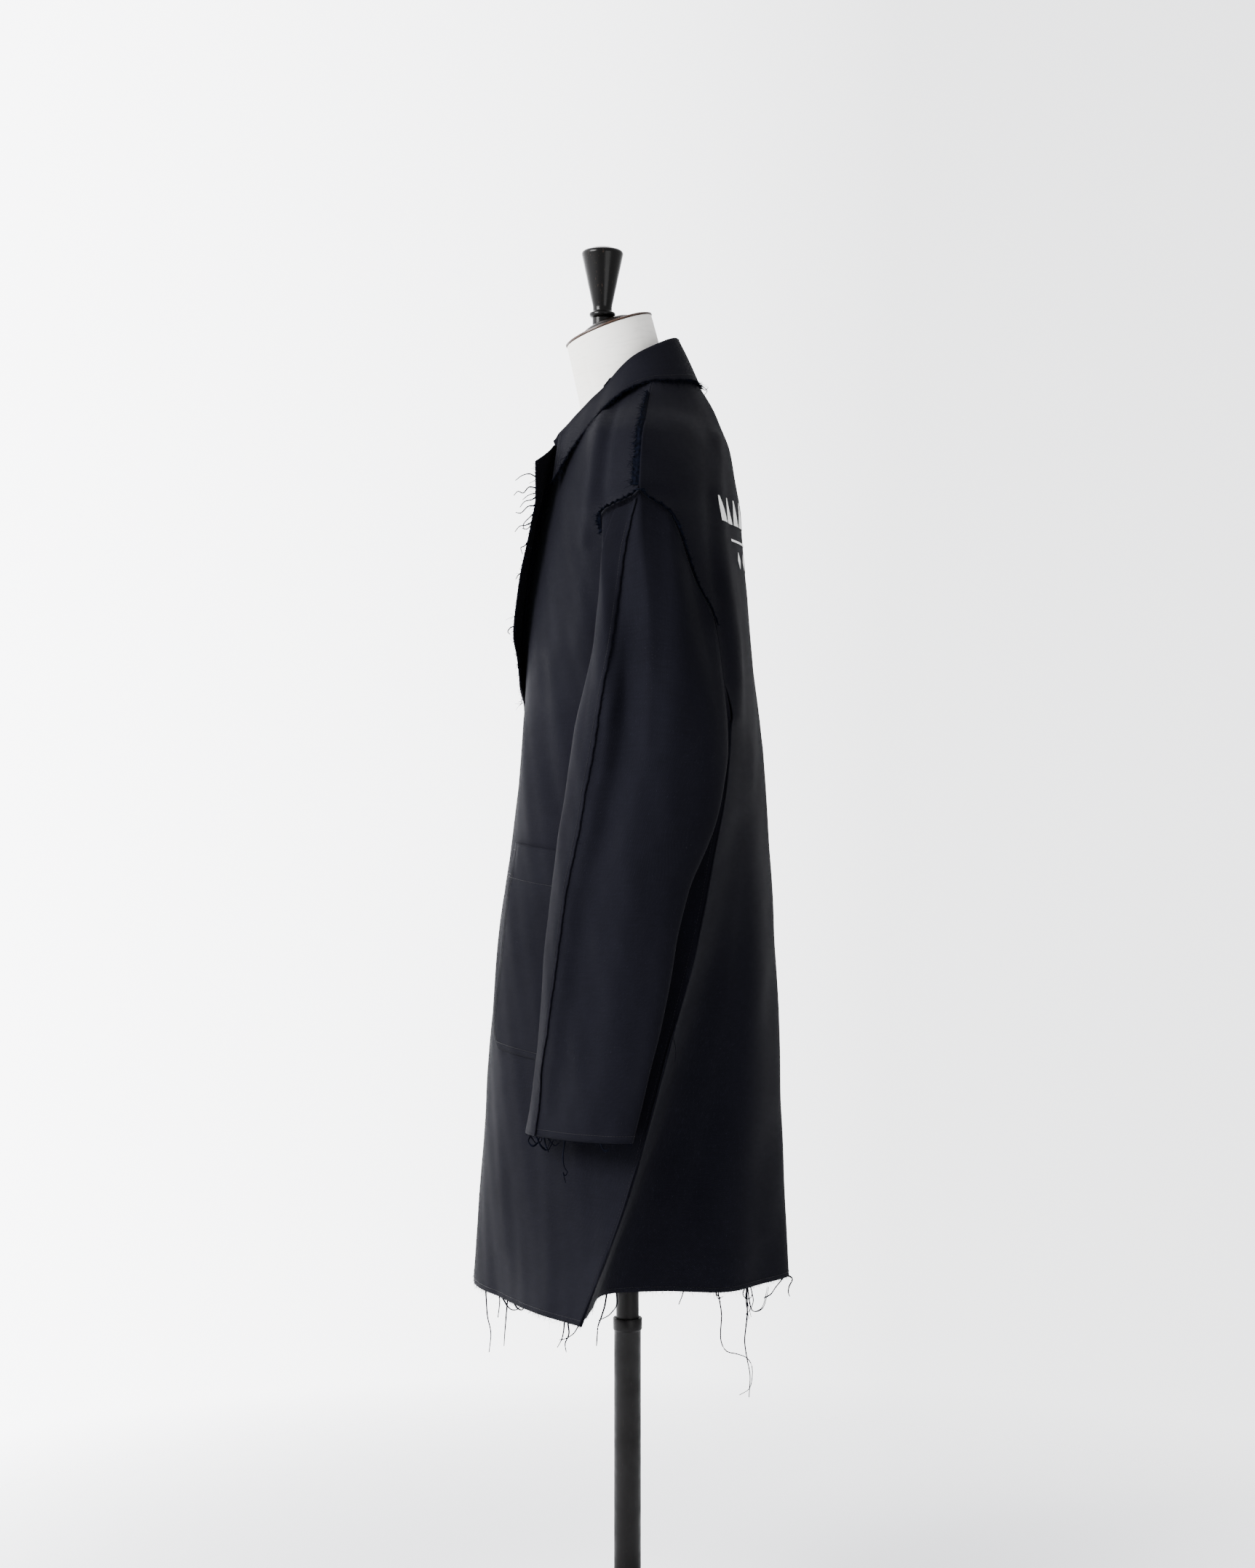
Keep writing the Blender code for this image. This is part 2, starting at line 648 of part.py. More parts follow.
def pocket(side, body):
    """A patch pocket on the front, made from the front's own points, with its low corners cut."""
    rows = body.front[side]
    count, columns = rows.shape[:2]
    points = rows.reshape(-1, 3)
    low = int(np.argmin(abs(ROWS - POCKET_BOTTOM)))
    high = int(np.argmin(abs(ROWS - POCKET_TOP)))
    faces = []
    for i in range(low, high):
        for j in range(POCKET_FIRST, POCKET_LAST):
            a = i * columns + j
            quad = (a, a + 1, a + 1 + columns, a + columns)
            if i == low and j == POCKET_FIRST:
                faces.append((quad[1], quad[2], quad[3]))
            elif i == low and j == POCKET_LAST - 1:
                faces.append((quad[0], quad[2], quad[3]))
            else:
                faces.append(quad)
    return ribbon("pocket_" + side, points, faces, LAYER_GAP, STRIP_WALL, side)


def shoulder_lap(side, body):
    """The shoulder seam's raw edge, laid forward over the front from the seam."""
    rows = [i for i, h in enumerate(ROWS) if SHOULDER_TIP - 1e-6 <= h < SHOULDER_SEAM_TOP]
    seam = body.front[side][rows, -1]
    before = body.front[side][rows, -2]
    toward = unit(before - seam) * SHOULDER_ALLOWANCE
    middle = seam + toward * 0.55
    fore = seam + toward
    points = np.stack([fore, middle, seam], axis=1).reshape(-1, 3)
    faces = grid_faces(len(rows), 3)
    return ribbon("shoulder_seam_" + side, points, faces, SHOULDER_LIFT, STRIP_WALL, side)


def armhole_frill(side, rows):
    """The armhole's raw allowance, standing out along the top of the seam."""
    count, around = rows.shape[:2]
    ring_faces = grid_faces(count, around, around=True)
    away = vertex_normals(rows.reshape(-1, 3), ring_faces).reshape(count, around, 3)[-1]
    picked = [k % around for k in range(-FRILL_REACH, FRILL_REACH + 1)]
    toward = unit(rows[-2][picked] - rows[-1][picked])
    base = rows[-1][picked] + away[picked] * FRILL_LIFT + toward * FRILL_INSET
    mean, wave = FRILL_HEIGHT
    height = np.array([mean + wave * math.sin(2.1 * k) for k in range(len(picked))])[:, None]
    tip = base + away[picked] * height
    points = np.stack([base, tip], axis=1).reshape(-1, 3)
    faces = grid_faces(len(picked), 2)
    if side == "right":
        points = mirrored(points)
        faces = [tuple(reversed(f)) for f in faces]
    return paint(wall("armhole_seam_" + side, points, faces, STRIP_WALL), cloth())


def collar():
    """The collar: seat on the neck seam, up to the crease and over to its outer edge."""
    half = np.array(COLLAR, float) * MM
    places = np.arange((len(half) - 1) * COLLAR_STEPS + 1) / COLLAR_STEPS
    spread = through(half, places)
    spread = np.concatenate([spread[:0:-1] * np.tile((-1, 1, 1), 3), spread])
    seat, crease, edge = spread[:, 0:3], spread[:, 3:6], spread[:, 6:9]
    lift = np.array((0, 0, 1))
    out = unit((edge - crease) * np.array((1, 1, 0)))
    rows = [
        lerp(seat, crease, 0.0) + lift * 0.6 * MM - out * 0.4 * MM,
        lerp(seat, crease, 0.5),
        lerp(seat, crease, 0.88) - out * 0.6 * MM,
        crease + out * 1.6 * MM + lift * 0.8 * MM,
        lerp(crease, edge, 0.2) + out * 2.6 * MM,
        lerp(crease, edge, 0.6) + out * 1.8 * MM,
        edge,
    ]
    points = np.array(rows)
    count, columns = points.shape[:2]
    faces = grid_faces(count, columns)
    return paint(wall("collar", points.reshape(-1, 3), faces, WALL), cloth())


def fray(name, outer, inner, threads, rng):
    """A narrow raw strip just under an edge, with stubs and loose threads fused to its underside.

    outer and inner are the edge's points on the wall's two faces.
    """
    middle = (outer + inner) / 2
    length = np.concatenate([[0], np.cumsum(np.linalg.norm(np.diff(middle, axis=0), axis=1))])
    total = length[-1]
    across = unit((outer - inner) * np.array((1, 1, 0)))
    roots = {}
    for place, size, swing, curl in threads:
        roots[round(place * total / MM) * MM] = (size * MM, swing * MM, curl * MM)
    stubs = int(total / STUB_SPACING)
    for k in range(stubs):
        place = (k + 0.5 + rng.uniform(-0.25, 0.25)) * STUB_SPACING
        size = rng.uniform(*STUB_LENGTH)
        if all(abs(place - other) > 4 * THREAD_WIDTH for other in roots):
            roots[place] = (size, rng.uniform(-2, 2) * MM, 0.0)
    roots = {p: v for p, v in roots.items() if 2 * FRAY_END < p < total - 2 * FRAY_END}
    stations = [(FRAY_END, None), (total - FRAY_END, None)]
    for place in length[1:-1]:
        clear = all(abs(place - root) > 2 * THREAD_WIDTH for root in roots)
        if clear and FRAY_END < place < total - FRAY_END:
            stations.append((place, None))
    for place, shape in roots.items():
        stations.append((place - THREAD_WIDTH / 2, shape))
        stations.append((place + THREAD_WIDTH / 2, None))
    stations.sort(key=lambda s: s[0])

    def at(place):
        centre = np.array([np.interp(place, length, middle[:, k]) for k in range(3)])
        side = np.array([np.interp(place, length, across[:, k]) for k in range(3)])
        return centre, unit(side)

    points, faces = [], []
    for place, _ in stations:
        centre, side = at(place)
        for reach, drop in ((0.5, 0), (0.5, 1), (-0.5, 1), (-0.5, 0)):
            depth = np.array((0, 0, -SEAM_GAP - drop * FRAY_HEIGHT))
            points.append(centre + side * reach * FRAY_WALL + depth)
    for k in range(len(stations) - 1):
        a, b = 4 * k, 4 * k + 4
        for c in range(4):
            d = (c + 1) % 4
            if c == 1 and stations[k][1] is not None:
                continue
            faces.append((a + c, b + c, b + d, a + d))
        if stations[k][1] is not None:
            add_thread(points, faces, (a + 1, b + 1, b + 2, a + 2), stations[k][1])
    faces.append((0, 1, 2, 3))
    end = 4 * (len(stations) - 1)
    faces.append((end + 3, end + 2, end + 1, end))
    return paint(oriented(name, points, triangles(faces)), thread_finish())


def add_thread(points, faces, root, shape):
    """A four-sided strand carried down from one face of the strip, swinging and curling."""
    size, swing, curl = shape
    corners = np.array([points[v] for v in root])
    centre = corners.mean(axis=0)
    along = unit(corners[1] - corners[0])
    segments = THREAD_SEGMENTS if size > SHORT_THREAD else 1
    previous = root
    for k in range(1, segments + 1):
        t = k / segments
        bend = swing * t * t + curl * math.sin(2.5 * math.pi * t) * t
        offset = along * bend + np.array((0, 0, -size * t))
        width = 0.85 if k < segments else 0.5
        ring = [len(points) + c for c in range(4)]
        points += list(centre + offset + (corners - centre) * width)
        for c in range(4):
            d = (c + 1) % 4
            faces.append((previous[c], previous[d], ring[d], ring[c]))
        previous = ring
    faces.append(tuple(previous))


def oriented(name, points, faces):
    """A closed solid whose faces are turned to face out together."""
    piece = solid(name, points, faces)
    shape = bmesh.new()
    shape.from_mesh(piece.data)
    bmesh.ops.recalc_face_normals(shape, faces=shape.faces)
    shape.to_mesh(piece.data)
    shape.free()
    return piece


def edge_pair(piece_rows, normals):
    """The outer and inner points of a panel's bottom row."""
    return piece_rows[0], piece_rows[0] - normals * WALL


def bottom_normals(rows, around=False):
    count, columns = rows.shape[:2]
    faces = grid_faces(count, columns, around=around)
    return vertex_normals(rows.reshape(-1, 3), faces).reshape(count, columns, 3)[0]


def hem_frays(body):
    rng = np.random.default_rng(7)
    for side in ("left", "right"):
        rows = body.front[side]
        outer, inner = edge_pair(rows, bottom_normals(rows))
        if side == "right":
            outer, inner = mirrored(outer), mirrored(inner)
        fray("hem_fray_" + side, outer, inner, HEM_THREADS[side], rng)
    rows = np.concatenate([body.back["left"], mirrored(body.back["right"][:, -2::-1])], axis=1)
    outer, inner = edge_pair(rows, bottom_normals(rows))
    fray("hem_fray_back", outer[::-1], inner[::-1], HEM_THREADS["back"], rng)


def cuff_frays(rows):
    rng = np.random.default_rng(11)
    outer, inner = edge_pair(rows, bottom_normals(rows, around=True))
    outer = np.roll(outer, -CUFF_START, axis=0)
    inner = np.roll(inner, -CUFF_START, axis=0)
    for side in ("left", "right"):
        if side == "right":
            outer, inner = mirrored(outer), mirrored(inner)
        fray("cuff_fray_" + side, outer, inner, CUFF_THREADS, rng)


def cloth():
    return material("black_wool_cloth", (0.018, 0.018, 0.022), 0.85)


def thread_finish():
    return material("loose_black_thread", (0.035, 0.037, 0.045), 0.7)


def torso():
    """The bust: boxy ovals up the body, the last one tilted to carry the neck cap."""
    around = 28
    angle = np.arange(around) / around * 2 * math.pi
    rings = []
    for height in TORSO.rows[:, 0]:
        size = TORSO.at(height)
        power = 2 / size["box"]
        c, s = np.cos(angle), np.sin(angle)
        x = size["half"] * np.sign(c) * abs(c) ** power
        middle = (size["front"] + size["back"]) / 2
        y = middle + (size["back"] - size["front"]) / 2 * np.sign(s) * abs(s) ** power
        rings.append(np.column_stack([x, y, np.full(around, height)]))
    rings.append(cap_ring(angle, CAP_RADIUS - 0.6 * MM, -0.3 * MM))
    rows = np.array(rings)
    points = rows.reshape(-1, 3)
    faces = grid_faces(len(rows), around, around=True)
    faces.append(tuple(range(around - 1, -1, -1)))
    faces.append(tuple(range(len(points) - around, len(points))))
    piece = solid("dress_form", points, faces)
    return paint(piece, material("cream_canvas", (0.72, 0.68, 0.57), 0.8))


def cap_ring(angle, radius, lift):
    """A ring in the tilted plane of the neck's top."""
    x = radius * np.cos(angle)
    y = radius * np.sin(angle)
    return np.column_stack([
        CAP_CENTRE[0] + x,
        CAP_CENTRE[1] + y * math.cos(NECK_TILT) - lift * math.sin(NECK_TILT),
        CAP_CENTRE[2] + y * math.sin(NECK_TILT) + lift * math.cos(NECK_TILT),
    ])


def turned(name, profile, segments, finish, place=(0, 0, 0), tilt=0.0):
    """A solid turned about Z from radius and height pairs, from its top down its outer side."""
    mesh = bpy.data.meshes.new(name)
    points = [(r * MM, 0, h * MM) for r, h in profile]
    mesh.from_pydata(points, [(k, k + 1) for k in range(len(points) - 1)], [])
    piece = bpy.data.objects.new(name, mesh)
    collection().objects.link(piece)
    screw = piece.modifiers.new("turn", "SCREW")
    screw.steps = segments
    screw.render_steps = segments
    screw.use_merge_vertices = True
    screw.merge_threshold = 0.00001
    piece.location = place
    piece.rotation_euler = (tilt, 0, 0)
    return paint(piece, finish)


def neck_cap():
    """A turned plate on the neck, with a flat-topped boss in its middle that carries the knob."""
    radius = CAP_RADIUS / MM
    rise = CAP_RISE / MM
    profile = (
        (0, rise), (20, rise), (25, rise - 1), (29, rise - 3.2), (32, rise - 6), (35, 4.4), (40, 3.6),
        (52, 3), (55.2, 2.6), (radius, 1.6), (radius, 0.3), (0, 0.3),
    )
    wood = material("dark_turned_wood", (0.03, 0.016, 0.011), 0.25)
    return turned("neck_cap", profile, 28, wood, CAP_CENTRE, NECK_TILT)


def knob():
    """The turned finial, upright over the cap: a cone, a bead and a foot cut to the cap's slope."""
    around = 24
    angle = np.arange(around) / around * 2 * math.pi
    rings = []
    for radius, height in KNOB_PROFILE:
        x = radius * MM * np.cos(angle)
        y = KNOB_Y + radius * MM * np.sin(angle)
        rings.append(np.column_stack([x, y, np.full(around, KNOB_BASE + height * MM)]))
    foot = rings[0]
    slope = math.tan(NECK_TILT)
    top = CAP_CENTRE[2] + CAP_RISE * math.cos(NECK_TILT)
    top_y = CAP_CENTRE[1] - CAP_RISE * math.sin(NECK_TILT)
    foot[:, 2] = top + (foot[:, 1] - top_y) * slope + SEAM_GAP / math.cos(NECK_TILT)
    rows = np.array(rings)
    faces = grid_faces(len(rows), around, around=True)
    faces.append(tuple(range(around - 1, -1, -1)))
    faces.append(tuple(range(len(rows) * around - around, len(rows) * around)))
    piece = solid("knob", rows.reshape(-1, 3), faces)
    return paint(piece, material("black_lacquer", (0.01, 0.01, 0.011), 0.12))


def stand():
    """The telescoping pole, its floor socket and the round base plate."""
    steel = material("dark_painted_metal", (0.02, 0.02, 0.022), 0.35, 0.6)
    r, t = POLE_RADIUS / MM, TUBE_RADIUS / MM
    top = POLE_TOP / MM
    base = BASE_THICKNESS / MM
    tube_top = TORSO.rows[0, 0] / MM - 0.4
    inner = ((0, tube_top), (t, tube_top), (t, TUBE_FOOT), (0, TUBE_FOOT))
    turned("pole_inner", inner, 24, steel)
    outer = (
        (t + 0.5, top), (r + 1.4, top), (r + 1.4, top - 14), (r, top - 16), (r, base + 0.3),
        (0, base + 0.3), (0, base + 6), (t + 0.5, base + 6), (t + 0.5, top),
    )
    turned("pole_outer", outer, 20, steel)
    socket = (
        (r + 0.45, base + 58), (r + 7, base + 58), (r + 9, base + 55), (r + 9, base + 14),
        (r + 16, base + 8), (r + 30, base + 3), (r + 30, base + 0.3), (r + 0.45, base + 0.3),
        (r + 0.45, base + 58),
    )
    turned("base_socket", socket, 28, steel)
    edge = BASE_RADIUS / MM
    plate = (
        (0, base), (edge - 14, base), (edge - 6, base - 1.5), (edge - 1.5, base - 5), (edge, base - 9),
        (edge, 1.5), (edge - 1.5, 0), (0, 0),
    )
    turned("base_plate", plate, 40, steel)


def main():
    for piece in list(bpy.data.objects):
        bpy.data.objects.remove(piece, do_unlink=True)
    torso()
    neck_cap()
    knob()
    stand()
    body = Body()
    back_panel(body)
    rows = sleeve_rows(body)
    for side in ("left", "right"):
        front_panel(body, side)
        pocket(side, body)
        shoulder_lap(side, body)
        sleeve(side, rows)
        sleeve_lap(side, rows)
        armhole_frill(side, rows)
    collar()
    hem_frays(body)
    cuff_frays(rows)


if __name__ == "__main__":
    main()
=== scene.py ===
"""The looks of a long black chesterfield coat with raw edges, its limbless dress form and stand.

The file is laid out as an add-on and run as a script. Lengths are in metres. The coat's front faces
-Y, the wearer's left is +X and the floor is Z = 0. A piece of cloth is a function of two numbers: a
place counted in stations round a section, and a height or a level.
"""

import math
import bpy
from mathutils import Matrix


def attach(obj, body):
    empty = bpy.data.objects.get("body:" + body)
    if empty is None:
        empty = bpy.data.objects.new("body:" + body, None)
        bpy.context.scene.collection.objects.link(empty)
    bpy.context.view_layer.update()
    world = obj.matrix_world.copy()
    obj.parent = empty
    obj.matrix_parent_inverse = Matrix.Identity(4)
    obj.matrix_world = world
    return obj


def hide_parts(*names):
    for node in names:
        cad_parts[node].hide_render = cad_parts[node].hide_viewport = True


bl_info = {
    "name": "Chesterfield Coat on a Dress Form",
    "version": (1, 0, 0),
    "blender": (4, 5, 0),
    "location": "View3D > Sidebar > Coat",
    "description": "Builds a long black raw-edged coat, the dress form that wears it and a plain studio",
    "category": "Add Mesh",
}

import bpy
import numpy as np

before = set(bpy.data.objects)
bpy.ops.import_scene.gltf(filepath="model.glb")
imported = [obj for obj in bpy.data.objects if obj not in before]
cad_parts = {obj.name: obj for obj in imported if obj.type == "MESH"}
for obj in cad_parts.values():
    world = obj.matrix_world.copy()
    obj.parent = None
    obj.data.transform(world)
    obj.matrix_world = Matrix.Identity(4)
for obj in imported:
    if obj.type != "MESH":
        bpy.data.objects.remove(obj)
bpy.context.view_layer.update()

MM = 0.001
SIDES = {"left": 1, "right": -1}

# Heights where pieces start and stop
HEM = 456 * MM
CUFF = 657 * MM
UNDERARM = 1134 * MM
BREAK = {"left": 1155 * MM, "right": 1222 * MM}
GORGE = 1470 * MM
SHOULDER_TIP = 1400 * MM
NECK_SEAM = 1538 * MM
SLEEVE_FULL = 1075 * MM
POCKET_TOP = 990 * MM
POCKET_BOTTOM = 745 * MM
POCKET_SLOPE = 8 * MM
POCKET_CORNER = 34 * MM

# The right front lies under the left one near the centre, and the right flare hangs further back
CLOTH_WALL = 1.6 * MM
UNDERLAP_DEPTH = 3.5 * MM
UNDERLAP_REACH = 30 * MM
UNDERLAP_FADE = (42 * MM, 66 * MM)
UNDERLAP_TOP = (1250 * MM, 1290 * MM)
RIGHT_ROLL_SHIFT = 13 * MM
ROLLS_MEET = (1290 * MM, 1400 * MM)
RIGHT_LAPEL_FULL = 1270 * MM
RIGHT_SWING = 16 * MM
SWING_ACROSS = (110 * MM, 250 * MM)
NAPE_RISE = 20 * MM
NAPE_RISES = (1500 * MM, 1538 * MM)


def cubic(start, leave, end, arrive, t):
    """The cubic from start to end that leaves and arrives with the given slopes, at shares t."""
    early = (1 + 2 * t) * (1 - t) ** 2 * start + t * (1 - t) ** 2 * leave
    return early + t * t * (3 - 2 * t) * end + t * t * (t - 1) * arrive


class Sections:
    """Rows of sizes in millimetres under named columns, read at any height between them."""

    def __init__(self, columns, rows, scale=MM):
        self.columns = columns.split()
        self.rows = np.array(rows, float) * scale

    def values(self, height):
        """Every column at the given heights, by a cubic that never passes its neighbouring rows."""
        height = np.asarray(height, float)
        x, y = self.rows[:, 0], self.rows[:, 1:]
        step = np.diff(x)[:, None]
        slope = np.diff(y, axis=0) / step
        before, after = slope[:-1], slope[1:]
        same_way = before * after > 0
        mean = np.zeros_like(before)
        mean[same_way] = (2 * before * after)[same_way] / (before + after)[same_way]
        tangent = np.vstack([slope[:1], mean, slope[-1:]])
        i = np.clip(np.searchsorted(x, height) - 1, 0, len(x) - 2)
        h = step[i, 0][..., None]
        t = (height[..., None] - x[i][..., None]) / h
        return cubic(y[i], h * tangent[i], y[i + 1], h * tangent[i + 1], t)

    def at(self, height):
        """Each column at the given heights, by its name."""
        return dict(zip(self.columns[1:], np.moveaxis(self.values(height), -1, 0)))

    def stations(self, height):
        """The columns at the given heights as plan points, in an array ending in (stations, 2)."""
        values = self.values(height)
        return values.reshape(*values.shape[:-1], -1, 2)


# The left front from its front edge or roll line round to the side seam, armhole or shoulder seam:
# a height, then each station in X and Y.
FRONT = Sections("height edge fore breast side seam", (
    (452, -30, -191, 64, -183, 148, -147, 238, -103, 307, -54),
    (600, -30, -178, 63, -172, 145, -132, 216, -74, 270, 3),
    (750, -30, -169, 66, -162, 142, -116, 198, -46, 236, 46),
    (900, -30, -155, 69, -147, 140, -97, 187, -20, 208, 86),
    (1000, -30, -140, 70, -133, 138, -84, 178, -5, 193, 105),
    (1060, -30, -134, 70, -127, 135, -79, 174, 0, 186, 116),
    (1134, -30, -128.5, 68, -121, 132, -75, 170, 0, 178, 121),
    (1155, -30, -128, 69, -118, 131, -76, 168, -20, 176, 70),
    (1190, -14, -127.5, 70, -115, 130, -78, 165, -35, 176, 12),
    (1250, 5, -124, 72, -108, 126, -82, 163, -54, 182, -24),
    (1330, 28, -114, 78, -99, 124, -80, 164, -57, 194, -27),
    (1373, 37, -106.5, 80, -93, 123, -77, 166, -57, 208, -31),
    (1400, 42, -100, 82, -88, 123, -74, 172, -48, 226, 12),
    (1430, 46, -92, 80, -81, 116, -66, 165, -42, 214, 15),
    (1470, 51, -82, 79, -70, 109, -54, 157, -34, 195, 18),
    (1486, 62, -59, 87, -51, 114, -41, 149, -20, 176, 21),
    (1508, 74, -27, 89, -22, 104, -15, 122, 1, 137, 24),
    (1538, 83, 16, 84.5, 19, 86.5, 23, 88, 26, 90, 30),
))
FRONT_END = 4
LAPEL_EDGE = 6.0

# The left half of the back from the same seam round the fold to the centre back, in the same way.
BACK = Sections("height seam fold valley flank blade rear nape", (
    (452, 307, -54, 216, -42, 121, -26, 105, 43, 110, 116, 62, 159, 0, 198),
    (600, 270, 3, 197, 12, 128, 28, 116, 75, 112, 130, 60, 166, 0, 192),
    (750, 236, 46, 187, 55, 142, 72, 126, 108, 108, 143, 58, 169, 0, 187),
    (900, 208, 86, 181, 96, 153, 110, 130, 130, 104, 149, 56, 167, 0, 179),
    (1000, 193, 105, 173, 116, 151, 127, 128, 139, 100, 150, 54, 163, 0, 173),
    (1060, 186, 116, 169, 124, 149, 132, 125, 141, 98, 150, 52, 161, 0, 169),
    (1134, 178, 121, 162, 128, 145, 134, 122, 140, 95, 147, 50, 157, 0, 163),
    (1190, 184, 110, 168, 121, 149, 130, 122, 137, 94, 143, 50, 151, 0, 157),
    (1250, 189, 102, 173, 114, 151, 124, 122, 132, 92, 139, 50, 146, 0, 150.5),
    (1300, 199, 77, 180, 94, 155, 112, 124, 124, 92, 132, 50, 141, 0, 147),
    (1373, 216, 49, 192, 70, 163, 90, 127, 107, 92, 119, 50, 132, 0, 140),
    (1400, 226, 14, 198, 52, 166, 80, 128, 100, 92, 114, 50, 129, 0, 137.5),
    (1430, 214, 15, 192, 45, 160, 74, 125, 94, 90, 109, 50, 124, 0, 132),
    (1470, 195, 18, 173, 41, 145, 65, 116, 84, 84, 99, 48, 115, 0, 125),
    (1486, 176, 21, 157, 41, 134, 62, 108, 79, 79, 93, 45, 108, 0, 119),
    (1508, 137, 24, 125, 39, 108, 55, 88, 71, 65, 85, 37, 98, 0, 110),
    (1538, 90, 30, 84, 41, 74, 52, 61, 62, 45, 70, 24, 77, 0, 80),
))
BACK_CENTRE = 6
BACK_END = 2 * BACK_CENTRE

# The lapel's outer edge, row by row from the break to the peak: where its roll is, and the edge.
LAPEL = Sections("roll height edge_x edge_y", (
    (1155, 1155, -30, -131),
    (1190, 1186, 16, -132.5),
    (1222, 1214, 34, -135),
    (1250, 1240, 47, -139),
    (1290, 1277, 61, -135),
    (1330, 1314, 74, -129),
    (1373, 1352, 85, -120),
    (1400, 1377, 92, -114.5),
    (1430, 1403, 99, -110),
    (1470, 1444, 109, -110),
))
LAPEL_TURN = ((-1, -1), (0, -2))
LAPEL_PLACES = (0.3, 0.62, 0.88, 1.0)
LAPEL_SAG = 2 * MM
ROLL_RADIUS = 2.4 * MM

# Where the sleeve's stations meet the armhole, in per cent of the way round it: from the shoulder
# tip down behind, under the arm and up in front.
ARMHOLE_PLACES = (0, 6.7, 18.6, 36, 44.6, 52.7, 62.8, 73.2, 85.3, 92, 96, 100)

# The hanging sleeve, flat from front edge to back edge, with its fullness out of and into that line.
SLEEVE = Sections("height front_x front_y back_x back_y out in groove", (
    (654, 190, -116, 287, 5, 27, 14, 88),
    (706, 189, -107, 278, 19, 29, 16, 86),
    (748, 188, -103, 271, 29, 31, 17, 84),
    (813, 187, -97, 262, 43, 34, 18, 82),
    (935, 190, -86, 245, 69, 40, 18, 82),
    (1025, 193, -74, 222, 105, 46, 16, 78),
    (1134, 196, -60, 192, 122, 52, 10, 66),
))
# Stations round the sleeve: how far along that line, and how much of the fullness, in per cent.
SLEEVE_RING = (
    (50, 100), (72, 90), (92, 50), (100, 0), (84, -85), (50, -100),
    (16, -85), (0, 0), (9, 52), (21, 80), (33, 100),
)
GROOVE_STATION = 10
SLEEVE_STATIONS = len(SLEEVE_RING)
SLEEVE_CAP_BULGE = 11 * MM
SLEEVE_INSET = 0.9 * MM
SLEEVE_STANDS_OUT = 0.8 * MM
# The sleeve's lap at each level, 0 the cuff and 2 the armhole: the stations that it runs between.
LAP = Sections("level inner edge", (
    (0, 7.3, 8.9), (0.1, 7.3, 8.62), (0.18, 7.25, 8.4), (0.3, 7.2, 8.62), (0.6, 7.2, 8.72),
    (0.95, 7.15, 8.55), (1.2, 7.2, 8.62), (1.32, 7.25, 8.8), (1.46, 7.3, 9.26), (1.56, 7.4, 9.55),
    (1.7, 7.75, 9.92), (1.82, 8.85, 10.25), (1.9, 9.35, 10.55), (1.98, 9.85, 10.95),
), 1.0)

# The collar from the nape to its front corner, each row in x, y, z of its seat on the neck seam,
# then of its crease and of its outer edge.
COLLAR = (
    (0, 76, 1561, 0, 60.5, 1606, 0, 89, 1551),
    (41, 67, 1558, 37, 53.5, 1601, 49, 77, 1549.5),
    (67, 50, 1550, 59, 35, 1591, 79, 53, 1545),
    (82, 26, 1542, 71, 13, 1579, 95.5, 27, 1542),
    (80, 0, 1530.5, 69, -7, 1564, 102, 3, 1533),
    (72, -28, 1512, 65, -32, 1536, 107, -21, 1516),
    (62, -57, 1491, 58, -58, 1509, 110, -47, 1486),
    (53, -80, 1474.5, 50, -82, 1485, 99, -90, 1422),
)
# The shoulders rise under the collar's edge, along this line in Y and Z
COLLAR_LINE = ((56, 1545), (27, 1541), (2, 1532), (-22, 1514), (-45, 1492))
COLLAR_LINE_RISE = 6 * MM
COLLAR_LINE_WIDTH = 22
# How far out and down the collar's foot is tucked inside the neck seam
COLLAR_TUCK = (3.5 * MM, 14 * MM)
COLLAR_END = 2 * (len(COLLAR) - 1)
COLLAR_EDGE = 6.0
# Across the collar: how far from seat to crease, or from crease to edge, then out and up in mm.
COLLAR_ACROSS = (
    ("stand", 0.0, -0.4, 0.6),
    ("stand", 0.5, 0.0, 0.0),
    ("stand", 0.88, -0.6, 0.0),
    ("fall", 0.0, 1.6, 0.8),
    ("fall", 0.2, 2.6, 0.0),
    ("fall", 0.6, 1.8, 0.0),
    ("fall", 1.0, 0.0, 0.0),
)

# The dress form: half width, front and back of each section, and how boxy the section is.
BUST = Sections("height half front back box", (
    (815, 140, -96, 108, 2300),
    (822, 151, -104, 117, 2300),
    (900, 164, -112, 132, 2300),
    (980, 150, -104, 122, 2250),
    (1060, 131, -93, 102, 2200),
    (1160, 140, -99, 104, 2200),
    (1270, 158, -108, 113, 2250),
    (1360, 172, -97, 115, 2300),
    (1415, 182, -84, 108, 2200),
    (1440, 187, -72, 102, 2000),
    (1458, 188, -65, 95, 1800),
    (1472, 183.4, -60, 90, 1560),
    (1484, 170.4, -57, 84, 1360),
    (1500, 128, -56, 75, 1140),
    (1512, 90, -57, 66, 1250),
    (1526, 64, -59, 59, 1800),
    (1550, 56.5, -64, 53, 2000),
))


